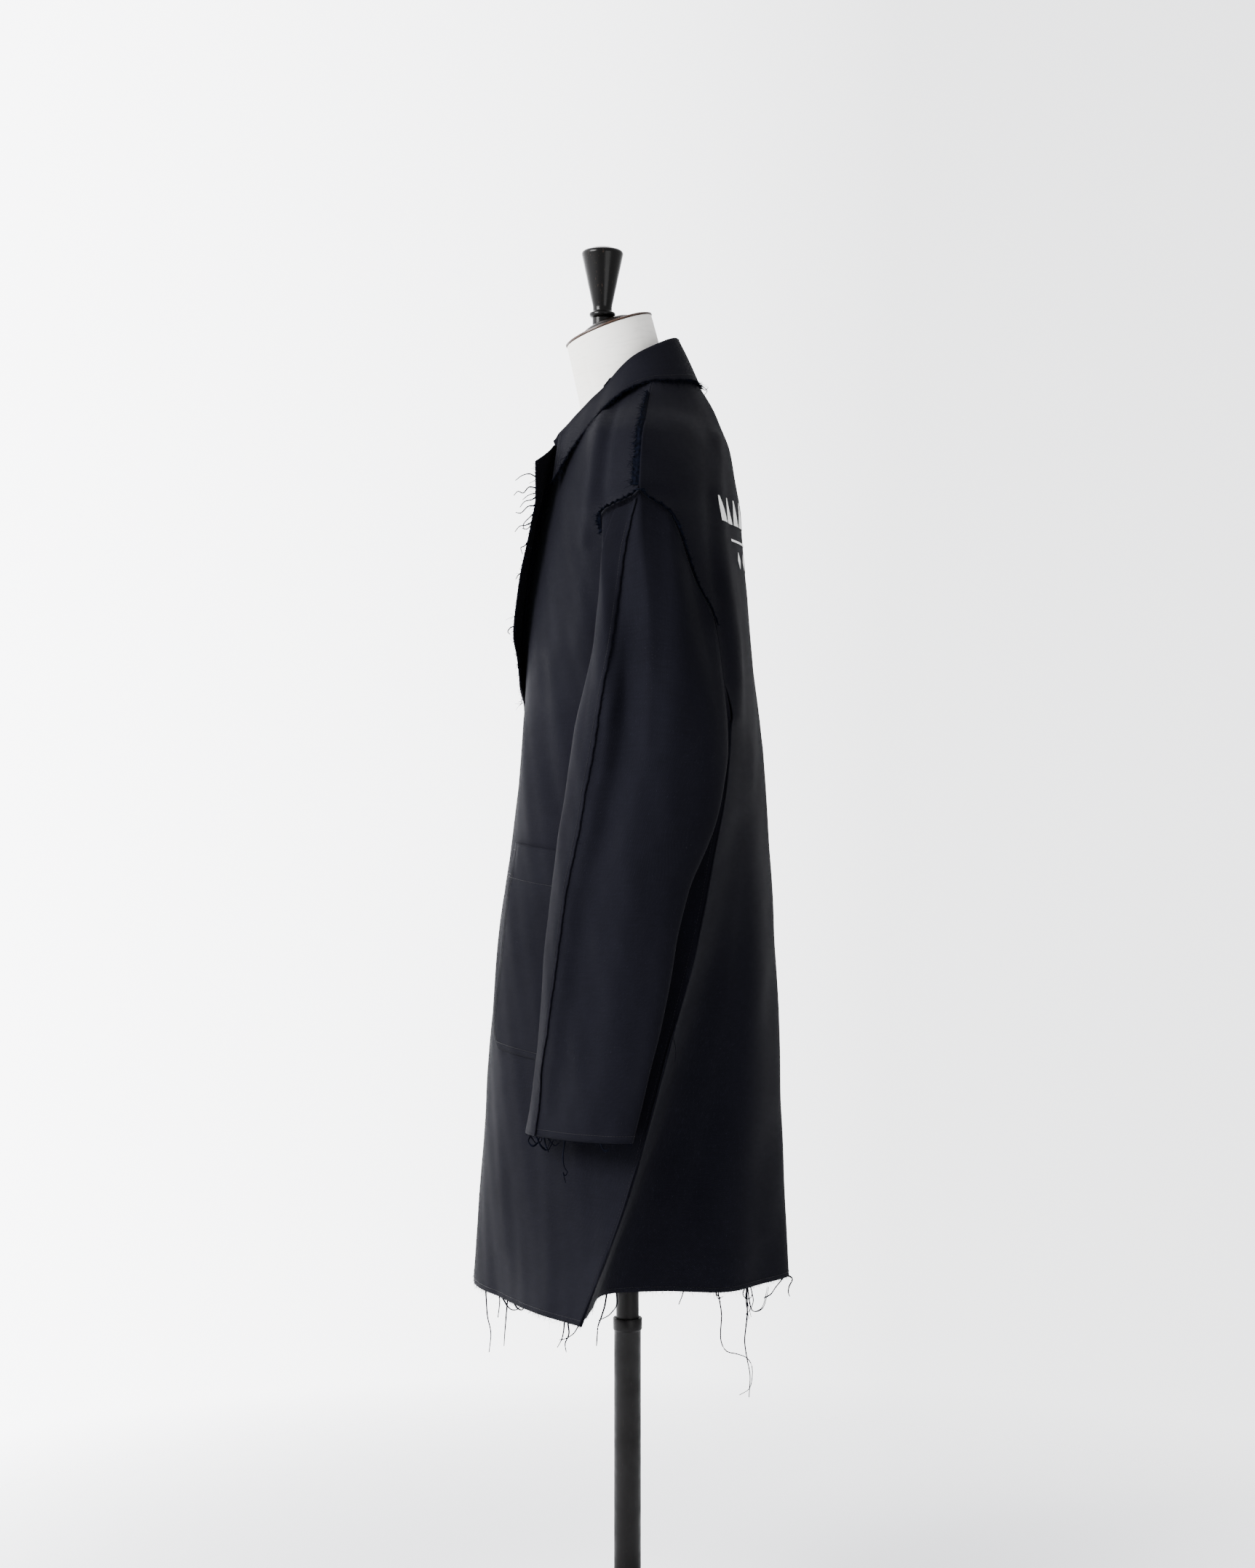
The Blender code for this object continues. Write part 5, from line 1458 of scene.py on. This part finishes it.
def build_front_stitches(side):
    """Stitches on a front: along the hem, the pocket, the placket and in front of the shoulder seam."""
    rows = Gathered()
    cloth = front_cloth(side)
    add_row(rows, cloth, (0.05, 1, 2, 3, 3.97), HEM_STITCHES)
    add_row(rows, cloth, PLACKET_STITCHES, (HEM + 8 * MM, 700 * MM, 950 * MM, BREAK[side]), pitch=3.6)
    ahead = FRONT_END - 8 * MM / SHOULDER_STITCH_STATION
    add_row(rows, cloth, ahead, (SHOULDER_TIP + 4 * MM, 1460 * MM, 1518 * MM), pitch=3.6)
    add_row(rows, cloth, SIDE_SEAM_STITCHES, (HEM + 8 * MM, UNDERARM - 6 * MM), pitch=4.0, width=0.4)
    pocket = side_cloth(pocket_bare, FRONT_CREASES, side)
    for inset in (0.045, 0.062):
        add_row(rows, pocket, *pocket_path(inset), pitch=3.0, lift=2.6)
    add_row(rows, pocket, (0.02, 0.98), 0.83, pitch=3.1, lift=3.4)
    for share in (0.845, 0.965):
        for corner in ((0.955, 0.985), (0.015, 0.045)):
            add_row(rows, pocket, corner, share, pitch=2.6, lift=3.4)
    rows.put("front_stitches_" + side, "black sewing thread", "coat_cloth")


def pocket_path(inset):
    """A U path round a pocket's sides and foot, a little in from its edge, in shares."""
    corner = np.linspace(0, math.pi / 2, 9)
    left = inset + 0.02 * (1 - np.cos(corner))
    up = 0.11 * (1 - np.sin(corner)) + 0.035
    straight = np.array((0.99, 0.8, 0.6, 0.4, 0.2))
    foot = np.linspace(inset + 0.06, 0.94 - inset, 7)
    across = np.concatenate([[inset] * 5, left, foot, 1 - left[::-1], [1 - inset] * 5])
    return across, np.concatenate([straight, up, [0.035] * 7, up[::-1], straight[::-1]])


def build_back_stitches():
    """Stitches on the back, along its hem."""
    rows = Gathered()
    add_row(rows, back_cloth(), np.linspace(0.03, 11.97, 25), HEM_STITCHES)
    rows.put("back_stitches", "black sewing thread", "coat_cloth")


def build_sleeve_stitches(side):
    """Stitches on a sleeve: round the cuff and along the lapped seam, inside its raw edge."""
    rows = Gathered()
    cloth = sleeve_cloth(side)
    cuff = 8 / (SLEEVE_FULL / MM - CUFF / MM)
    add_row(rows, cloth, np.linspace(0, SLEEVE_STATIONS, 45), cuff)
    level = np.concatenate([np.linspace(0.01, 1, 30), np.linspace(1.04, 1.9, 24)])
    add_row(rows, cloth, LAP.at(level)["edge"] - 0.2, level, lift=1.95)
    rows.put("sleeve_stitches_" + side, "black sewing thread", "coat_cloth")


def build_collar_stitches():
    """Stitches round the collar, 8 mm in from its raw edge."""
    rows = Gathered()
    first, last = 0.12, COLLAR_END - 0.12
    add_row(rows, collar_cloth(), np.linspace(first, last, 57), 5.72, pitch=3.1)
    for end in (first, last):
        add_row(rows, collar_cloth(), end, (5.7, 3.4), pitch=3.1)
    rows.put("collar_stitches", "black sewing thread", "coat_cloth")


def build_raw_edges():
    """Yarn ends at every raw edge: hem, cuffs, laps, collar, lapels, fronts, armholes, shoulders."""
    density = thread_settings().density
    reach = thread_settings().reach / MM
    out, back, up, down = (1, 0), (-1, 0), (0, 1), (0, -1)
    ends = Gathered()
    edge_fibres(ends, back_cloth(), np.linspace(0, BACK_END, 60), HEM, down, density, reach, 5)
    ends.put("back_raw_edge", "raw yarn", "loose_thread")
    ends = Gathered()
    places = np.linspace(0, COLLAR_END, 60)
    edge_fibres(ends, collar_cloth(), places, COLLAR_EDGE, up, density * 3, reach * 1.4, 6, width=0.5)
    ends.put("collar_raw_edge", "raw yarn", "loose_thread")
    level = np.concatenate([np.linspace(0, 1, 20), np.linspace(1.05, 1.97, 20)])
    shoulder = np.linspace(SHOULDER_TIP + 2 * MM, SHOULDER_SEAM_TOP, 8)
    ahead = FRONT_END - SHOULDER_ALLOWANCE / SHOULDER_STATION
    for side in SIDES:
        ends = Gathered()
        front, lapel, sleeve = front_cloth(side), lapel_cloth(side), sleeve_cloth(side)
        opening = np.linspace(HEM, BREAK[side], 12)
        turned_back = np.linspace(BREAK[side] + 4 * MM, GORGE, 14)
        seam = np.linspace(HEM, UNDERARM, 30)
        for cloth, across, height, way, many, far, seed, more in (
            (front, np.linspace(0, FRONT_END, 30), HEM, down, density, 1, 7, {}),
            (front, 0.0, opening, back, density, 0.8, 8, {}),
            (lapel, LAPEL_EDGE, turned_back, out, density, 1.2, 9, {"width": 0.6}),
            (sleeve, np.linspace(0, SLEEVE_STATIONS, 60), 0.0, down, density, 1, 10, {}),
            (sleeve, LAP.at(level)["edge"], level, out, density, 0.6, 11, {"lift": 1.2}),
            (front, 3.99, seam, out, 1, 0.6, 14, {"lift": 0.3}),
            (front, ahead, shoulder, back, density * 2, 1, 12, {"lift": 3.6, "width": 0.5}),
        ):
            edge_fibres(ends, cloth, across, height, way, many, reach * far, seed, **more)
        crest, away = frill_row(side, 1.0)
        way = unit(np.gradient(crest, axis=0))
        fibres(ends, crest, way, away, away, density * 3, reach * 0.9, np.random.default_rng(13), 0.4)
        ends.put("raw_edges_" + side, "raw yarn", "loose_thread")


def build_loose_threads():
    """Long loose threads, most as the photograph shows them: at the hem, cuffs, lapel and collar."""
    rng = np.random.default_rng(THREAD_SEED)
    threads = Gathered()
    add_threads(threads, back_cloth(), "left", HEM, BACK_THREADS, rng)
    threads.put("loose_threads_back", "raw yarn", "loose_thread", "hem_fray_back")
    threads = Gathered()
    for place, offsets in COLLAR_THREADS:
        start = spot(collar_cloth(), place, COLLAR_EDGE - 0.05)
        threads.strand(hanging(start, offsets, "left", rng, COLLAR_SWAY), COLLAR_WIDTH)
    threads.put("loose_threads_collar", "raw yarn", "loose_thread")
    for side in SIDES:
        threads = Gathered()
        cloth = front_cloth(side)
        add_threads(threads, cloth, side, HEM, FRONT_THREADS[:: 1 if side == "left" else 2], rng)
        for height, offsets in LAPEL_THREADS[:: 1 if side == "left" else 3]:
            start = lapel_cloth(side).bare(np.array([LAPEL_EDGE]), np.array([height * MM]))[0]
            threads.strand(hanging(start, offsets, side, rng, LAPEL_SWAY), LAPEL_WIDTH)
        start = spot(cloth, *SEAM_THREAD_START, 0.5 * MM)
        threads.strand(hanging(start, SEAM_THREAD, side, rng, SEAM_SWAY), SEAM_WIDTH)
        threads.put("loose_threads_" + side, "raw yarn", "loose_thread", "hem_fray_" + side)
        threads = Gathered()
        add_threads(threads, sleeve_cloth(side), side, 0.0, CUFF_THREADS, rng)
        threads.put("loose_threads_cuff_" + side, "raw yarn", "loose_thread", "cuff_fray_" + side)


def build_print():
    """A plain white design on the upper back: a row of small triangles, a thin rule and lozenges."""
    made = Gathered()
    cloth = back_cloth()
    spread = back_spread(PRINT_HEIGHT)
    for corners, count, foot, tall, wide, half in PRINT_ROWS:
        for centre in np.linspace(-half, half, count):
            add_print(made, cloth, spread, [(centre + x * wide, foot + z * tall) for x, z in corners])
    height, thick, half, count = PRINT_RULE
    top = height + thick
    for low in np.linspace(-half, half, count + 1)[:-1]:
        high = low + 2 * half / count
        add_print(made, cloth, spread, [(low, height), (high, height), (high, top), (low, top)])
    made.put("back_print", "white print", "coat_cloth", smooth=False)


def back_spread(height):
    """Stations against length along the back from its centre, at one height."""
    places = np.linspace(0, BACK_END, 400)
    length = lengths(back_bare(places, np.full_like(places, height)))
    return places, length - np.interp(BACK_CENTRE, places, length)


def add_print(made, cloth, spread, corners):
    """A four-cornered patch of ink that follows the cloth, a little proud of it."""
    s, t = np.meshgrid(*[np.linspace(0, 1, PRINT_POINTS)] * 2)
    a, b, c, d = np.array(corners)[:, :, None, None]
    x, z = lerp(lerp(a, b, s), lerp(d, c, s), t)
    points = cloth.at(np.interp(-x, spread[1], spread[0]), z, PRINT_LIFT)
    quads = grid_quads(PRINT_POINTS, PRINT_POINTS)
    made.add(*walled(points.reshape(-1, 3), quads, grid_uv(points), PRINT_WALL)[:2])


def turned(name, profile, around=96, centre=(0.0, 0.0, 0.0), tilt=0.0):
    """A piece turned about an upright or tilted axis, from radius and height pairs in millimetres.

    The profile runs up the outer side. Where it starts or ends on the axis the hole is closed by a
    fan, and where it ends at its start it is a ring.
    """
    loop = profile[0] == profile[-1]
    rings = np.array([pair for pair in (profile[:-1] if loop else profile) if pair[0] > 0], float) * MM
    angle = np.arange(around) / around * 2 * math.pi
    x = rings[:, :1] * np.cos(angle)
    y = rings[:, :1] * np.sin(angle)
    h = np.broadcast_to(rings[:, 1:], x.shape)
    c, s = math.cos(tilt), math.sin(tilt)
    points = np.stack([x, y * c - h * s, y * s + h * c], axis=-1) + np.array(centre)
    return ringed(name, points, loop, profile[0][0] == 0, profile[-1][0] == 0)


def ringed(name, points, loop=False, foot=True, top=True):
    """A mesh from closed rings of points, with its two ends closed by fans or joined to each other."""
    rows, around = points.shape[:2]
    quads = grid_quads(rows + loop, around, around=True) % (rows * around)
    uv = grid_uv(np.concatenate([points, points[:1]]) if loop else points, around=True)
    flat = points.reshape(-1, 3)
    k = np.arange(0, around, 2)
    for wanted, start, order in ((foot, 0, (0, 3, 2, 1)), (top, (rows - 1) * around, (0, 1, 2, 3))):
        if wanted and not loop:
            hub = np.full_like(k, len(flat))
            fan = np.stack([hub, start + k, start + k + 1, start + (k + 2) % around], axis=1)
            flat = np.vstack([flat, flat[start : start + around].mean(axis=0)])
            quads = np.vstack([quads, fan[:, order]])
            uv = np.concatenate([uv, np.repeat(uv[:1, :1], len(fan), axis=0).repeat(4, axis=1)])
    piece = put_mesh(name, flat, quads, uv)
    piece.data.set_sharp_from_angle(angle=SHARP_ANGLE)
    return piece


def build_bust():
    """The limbless form: boxy ovals up the body and neck, the last one tilted to carry the cap.

    Each ring is a superellipse, and vertical seams are shallow bell-shaped grooves of the angle.
    """
    heights = np.concatenate([np.linspace(*span) for span in BUST_SPANS]) * MM
    angle = np.arange(BUST_AROUND) / BUST_AROUND * 2 * math.pi
    size = {key: value[:, None] for key, value in BUST.at(heights).items()}
    power = 2 / size["box"]
    c, s = np.cos(angle), np.sin(angle)
    seam = np.zeros_like(angle)
    for place in BUST_SEAMS:
        away = (angle / (2 * math.pi) - place + 0.5) % 1 - 0.5
        seam += np.exp(-((away * BUST_AROUND / BUST_SEAM_WIDTH) ** 2))
    x = size["half"] * np.sign(c) * abs(c) ** power
    middle, half_depth = (size["front"] + size["back"]) / 2, (size["back"] - size["front"]) / 2
    y = middle + half_depth * np.sign(s) * abs(s) ** power
    out = unit(np.stack([c + 0 * x, s + 0 * x], axis=-1))
    plan = np.stack([x, y], axis=-1) - out * (seam * BUST_SEAM_DEPTH)[None, :, None]
    rings = np.concatenate([plan, np.broadcast_to(heights[:, None, None], (*x.shape, 1))], axis=-1)
    radius, drop = (CAP_RADIUS - 0.6) * MM, -0.3 * MM
    top = np.stack([
        radius * c,
        CAP_CENTRE[1] + radius * s * math.cos(NECK_TILT) - drop * math.sin(NECK_TILT),
        CAP_CENTRE[2] + radius * s * math.sin(NECK_TILT) + drop * math.cos(NECK_TILT),
    ], axis=-1)
    neck = [lerp(rings[-1], top, t) for t in np.linspace(0, 1, 16)[1:]]
    belongs(ringed("bust", np.concatenate([rings, neck])), "cream canvas", "form_canvas", "dress_form")


def build_cap():
    """The neck cap: a turned rim and a shallow dome, tilted with the neck."""
    rim = turned("cap_rim", CAP_RIM + (CAP_RIM[0],), 160, CAP_CENTRE, NECK_TILT)
    belongs(rim, "bare brown edge", "cap_wood", "neck_cap")
    dome = turned("cap_dome", CAP_DOME, 160, CAP_CENTRE, NECK_TILT)
    belongs(dome, "dark turned wood", "cap_wood")


def build_knob():
    """The upright finial: a cone over a bead, its foot cut to the cap's slope."""
    angle = np.arange(128) / 128 * 2 * math.pi
    sizes = np.array(KNOB_PROFILE)
    place = np.arange((len(sizes) - 1) * 3 + 1) / 3
    sizes = along(np.broadcast_to(sizes, place.shape + sizes.shape), place) * MM
    x = sizes[:, :1] * np.cos(angle)
    y = KNOB_Y + sizes[:, :1] * np.sin(angle)
    z = np.broadcast_to(KNOB_BASE + sizes[:, 1:], x.shape).copy()
    top = CAP_CENTRE[2] + CAP_RISE * MM * math.cos(NECK_TILT)
    top_y = CAP_CENTRE[1] - CAP_RISE * MM * math.sin(NECK_TILT)
    z[0] = top + (y[0] - top_y) * math.tan(NECK_TILT)
    z[1:3] = np.maximum(z[1:3], z[0] + 0.3 * MM)
    belongs(ringed("finial", np.stack([x, y, z], axis=-1)), "black lacquer", "knob_lacquer", "knob")


def moved(profile, radius, height):
    """A profile's pairs, counted from a radius and a height."""
    return tuple((radius + x, height + z) for x, z in profile)


def build_stand():
    """The telescoping pole, the floor socket and the round plate, each turned."""
    r, t, base, edge = POLE_RADIUS, TUBE_RADIUS, BASE_THICKNESS, BASE_RADIUS
    inner = ((0, TUBE_FOOT), (t, TUBE_FOOT), (t, TUBE_TOP), (0, TUBE_TOP))
    outer = (
        (0, base + 0.3), (r, base + 0.3), *moved(POLE_RIM, r, POLE_TOP), (t + 0.9, POLE_TOP),
        (t + 0.5, POLE_TOP - 0.6), (t + 0.5, base + 6), (0, base + 6),
    )
    plate = (
        (0, 0), (edge - 2.4, 0), (edge - 0.8, 0.6), (edge, 2.2), *moved(PLATE_EDGE, edge, base), (0, base),
    )
    for name, node, profile, around in (
        ("inner_tube", "pole_inner", inner, 96),
        ("outer_tube", "pole_outer", outer, 96),
        ("pole_socket", "base_socket", moved(SOCKET, r, base), 96),
        ("floor_plate", "base_plate", plate, 192),
    ):
        belongs(turned(name, profile, around), "dark painted metal", "stand_metal", node)


def build_stage():
    """A pale floor that fades out, an even pale world, soft lights and the photograph's camera."""
    scene = bpy.context.scene
    props = scene.coat_stage
    floor = turned("floor", FLOOR, 128)
    floor.data.materials.append(floor_paint(props.shade))
    scene.world = studio_world(props)
    key = soft_light("key", props.key, *KEY_LIGHT)
    fill = soft_light("fill", props.fill, *FILL_LIGHT)
    camera = bpy.data.objects.new("camera", bpy.data.cameras.new("camera"))
    camera.data.sensor_fit = "AUTO"
    camera.data.sensor_width = 36.0
    camera.data.lens = CAMERA_LENS
    camera.location = (props.distance, 0, props.eye)
    camera.rotation_euler = (math.radians(90), 0, math.radians(90))
    scene.collection.objects.link(camera)
    scene.camera = camera


def studio_world(props):
    """A pale room: brightest behind the coat and in front of it, dimmer behind the camera and above.

    The brightness is a plain sum of the direction's parts, never below a least value, and a bright
    patch of wall behind the coat's front is added to it.
    """
    world = bpy.data.worlds.new("pale studio")
    world.use_nodes = True
    nodes = Nodes(world.node_tree)
    left, back, up = nodes.split(nodes.add("ShaderNodeTexCoord").outputs["Generated"])
    level = nodes.maths("MULTIPLY_ADD", left, -0.42 * props.world, 0.58 * props.world)
    level = nodes.maths("MULTIPLY_ADD", back, -0.62 * props.world, level)
    above = nodes.maths("MAXIMUM", up, 0.0)
    level = nodes.maths("MULTIPLY_ADD", above, -0.25 * props.world, level)
    ahead = nodes.ranged(back, 0.1, -0.4, 0.0, 1.6 * props.world)
    patch = nodes.times(ahead, nodes.ranged(left, -0.75, -0.9))
    level = nodes.maths("ADD", nodes.maths("MAXIMUM", level, 0.32 * props.world), patch)
    shader = nodes.tree.nodes["Background"]
    nodes.feed(shader.inputs["Color"], tuple(props.shade))
    nodes.feed(shader.inputs["Strength"], level)
    return world


def floor_paint(shade):
    """A pale matte floor that turns clear with distance from the pole, so its edge doesn't show."""
    made = Finish("pale floor", tuple(shade), 0.9)
    flat = made.add("ShaderNodeMapping", {"Vector": made.place(), "Scale": (1, 1, 0)}).outputs[0]
    away = made.add("ShaderNodeVectorMath", {0: flat}, operation="LENGTH").outputs["Value"]
    made.set(Alpha=made.ranged(away, 0.3, 1.5, 1.0, 0.0))
    return made.material


def soft_light(name, power, place, size, aim):
    """A square area light that faces a point."""
    lamp = bpy.data.lights.new(name, "AREA")
    lamp.size = size
    lamp.energy = power
    light = bpy.data.objects.new(name, lamp)
    light.location = place
    x, y, z = (p - a for p, a in zip(place, aim))
    light.rotation_euler = (math.atan2(math.hypot(x, y), z), 0, math.atan2(x, -y))
    bpy.context.scene.collection.objects.link(light)
    return light


class CoatCloth(bpy.types.PropertyGroup):
    """How the coat's cloth looks and how finely it is built"""

    colour: bpy.props.FloatVectorProperty(
        name="Colour", description="Colour of the twill", subtype="COLOR",
        default=(0.0015, 0.0015, 0.0026), min=0, max=1,
    )
    sheen: bpy.props.FloatProperty(
        name="Sheen", description="Light caught by the nap", subtype="FACTOR",
        default=0.004, min=0, max=1,
    )
    crease: bpy.props.FloatProperty(
        name="Creases", description="How deep the creases are, as a share", subtype="FACTOR",
        default=1.0, min=0, max=2,
    )
    wall: bpy.props.FloatProperty(
        name="Thickness", description="Thickness of the cloth", unit="LENGTH",
        default=0.0016, min=0.0005, max=0.004,
    )
    grid: bpy.props.FloatProperty(
        name="Row spacing", description="Height between rows of points", unit="LENGTH",
        default=0.0051, min=0.002, max=0.02,
    )


class CoatThreads(bpy.types.PropertyGroup):
    """Yarn ends at the raw edges"""

    colour: bpy.props.FloatVectorProperty(
        name="Colour", description="Colour of the loose yarn", subtype="COLOR",
        default=(0.0006, 0.0008, 0.0018), min=0, max=1,
    )
    density: bpy.props.IntProperty(
        name="Density", description="Yarn ends at each 1.3 mm of edge", default=2, min=1, max=6
    )
    reach: bpy.props.FloatProperty(
        name="Reach", description="Usual length of a yarn end", unit="LENGTH",
        default=0.0032, min=0.0005, max=0.01,
    )


class CoatForm(bpy.types.PropertyGroup):
    """The dress form"""

    canvas: bpy.props.FloatVectorProperty(
        name="Canvas", description="Colour of the form's canvas", subtype="COLOR",
        default=(0.74, 0.725, 0.69), min=0, max=1,
    )


class CoatStage(bpy.types.PropertyGroup):
    """The studio"""

    shade: bpy.props.FloatVectorProperty(
        name="Background", description="Colour of the background", subtype="COLOR",
        default=(0.965, 0.97, 0.99), min=0, max=1,
    )
    world: bpy.props.FloatProperty(
        name="World", description="Brightness of the backdrop", default=3.9, min=0
    )
    key: bpy.props.FloatProperty(
        name="Key", description="Power of the front light", default=330, min=0, unit="POWER"
    )
    fill: bpy.props.FloatProperty(
        name="Fill", description="Power of the rear light", default=32, min=0, unit="POWER"
    )
    distance: bpy.props.FloatProperty(
        name="Distance", description="From the camera to the pole", default=3.2, min=1, unit="LENGTH"
    )
    eye: bpy.props.FloatProperty(
        name="Eye", description="Height of the camera", default=1.06, min=0, unit="LENGTH"
    )


class COAT_OT_form(bpy.types.Operator):
    """Adds the limbless form, its neck cap and its knob"""

    bl_idname = "coat.form"
    bl_label = "Dress Form"

    def execute(self, context):
        build_bust()
        build_cap()
        build_knob()
        return {"FINISHED"}


class COAT_OT_stand(bpy.types.Operator):
    """Adds the pole, the floor socket and the round plate"""

    bl_idname = "coat.stand"
    bl_label = "Stand"

    def execute(self, context):
        build_stand()
        return {"FINISHED"}


class COAT_OT_back(bpy.types.Operator):
    """Adds the back with its hem stitching"""

    bl_idname = "coat.back"
    bl_label = "Back"

    def execute(self, context):
        build_back()
        build_back_stitches()
        return {"FINISHED"}


class COAT_OT_fronts(bpy.types.Operator):
    """Adds both fronts, each in one with its lapel, and their stitching"""

    bl_idname = "coat.fronts"
    bl_label = "Fronts"

    def execute(self, context):
        for side in SIDES:
            build_front(side)
            build_front_stitches(side)
        return {"FINISHED"}


class COAT_OT_sleeves(bpy.types.Operator):
    """Adds both sleeves, the laps over their front seams, and their stitching"""

    bl_idname = "coat.sleeves"
    bl_label = "Sleeves"

    def execute(self, context):
        for side in SIDES:
            build_sleeve(side)
            build_sleeve_lap(side)
            build_sleeve_stitches(side)
        return {"FINISHED"}


class COAT_OT_collar(bpy.types.Operator):
    """Adds the turned-down collar"""

    bl_idname = "coat.collar"
    bl_label = "Collar"

    def execute(self, context):
        build_collar()
        build_collar_stitches()
        return {"FINISHED"}


class COAT_OT_pockets(bpy.types.Operator):
    """Adds both patch pockets"""

    bl_idname = "coat.pockets"
    bl_label = "Pockets"

    def execute(self, context):
        for side in SIDES:
            build_pocket(side)
        return {"FINISHED"}


class COAT_OT_allowances(bpy.types.Operator):
    """Adds the raw seam allowances on the shoulders and round the armholes"""

    bl_idname = "coat.allowances"
    bl_label = "Seam Allowances"

    def execute(self, context):
        for side in SIDES:
            build_shoulder_lap(side)
            build_frill(side)
        return {"FINISHED"}


class COAT_OT_threads(bpy.types.Operator):
    """Adds the yarn ends at every raw edge and the long loose threads"""

    bl_idname = "coat.threads"
    bl_label = "Loose Threads"

    def execute(self, context):
        build_raw_edges()
        build_loose_threads()
        return {"FINISHED"}


class COAT_OT_print(bpy.types.Operator):
    """Adds the plain white design on the upper back"""

    bl_idname = "coat.print"
    bl_label = "Back Print"

    def execute(self, context):
        build_print()
        return {"FINISHED"}


class COAT_OT_stage(bpy.types.Operator):
    """Adds the floor, the world, the lights and the camera"""

    bl_idname = "coat.stage"
    bl_label = "Studio"

    def execute(self, context):
        build_stage()
        return {"FINISHED"}


PROPERTIES = {
    "coat_cloth": CoatCloth,
    "coat_threads": CoatThreads,
    "coat_form": CoatForm,
    "coat_stage": CoatStage,
}
OPERATORS = (
    COAT_OT_form, COAT_OT_stand, COAT_OT_back, COAT_OT_fronts, COAT_OT_sleeves, COAT_OT_collar,
    COAT_OT_pockets, COAT_OT_allowances, COAT_OT_threads, COAT_OT_print, COAT_OT_stage,
)


class COAT_PT_panel(bpy.types.Panel):
    """Lists the coat's settings and its pieces"""

    bl_idname = "COAT_PT_panel"
    bl_label = "Coat"
    bl_space_type = "VIEW_3D"
    bl_region_type = "UI"
    bl_category = "Coat"

    def draw(self, context):
        for name, kind in PROPERTIES.items():
            box = self.layout.box()
            for label in kind.__annotations__:
                box.prop(getattr(context.scene, name), label)
        for kind in OPERATORS:
            self.layout.operator(kind.bl_idname)


CLASSES = (*PROPERTIES.values(), *OPERATORS, COAT_PT_panel)


def register():
    """Registers the settings, the operators and the panel, and puts the settings on the scene."""
    for kind in CLASSES:
        bpy.utils.register_class(kind)
    for name, kind in PROPERTIES.items():
        setattr(bpy.types.Scene, name, bpy.props.PointerProperty(type=kind))


def unregister():
    """Takes back what register did, the other way round."""
    for name in PROPERTIES:
        delattr(bpy.types.Scene, name)
    for kind in reversed(CLASSES):
        bpy.utils.unregister_class(kind)


def main():
    """Builds every piece through its operator."""
    register()
    bpy.ops.coat.form()
    bpy.ops.coat.stand()
    bpy.ops.coat.back()
    bpy.ops.coat.fronts()
    bpy.ops.coat.sleeves()
    bpy.ops.coat.collar()
    bpy.ops.coat.pockets()
    bpy.ops.coat.allowances()
    bpy.ops.coat.threads()
    bpy.ops.coat.print()
    bpy.ops.coat.stage()


if __name__ == "__main__":
    main()
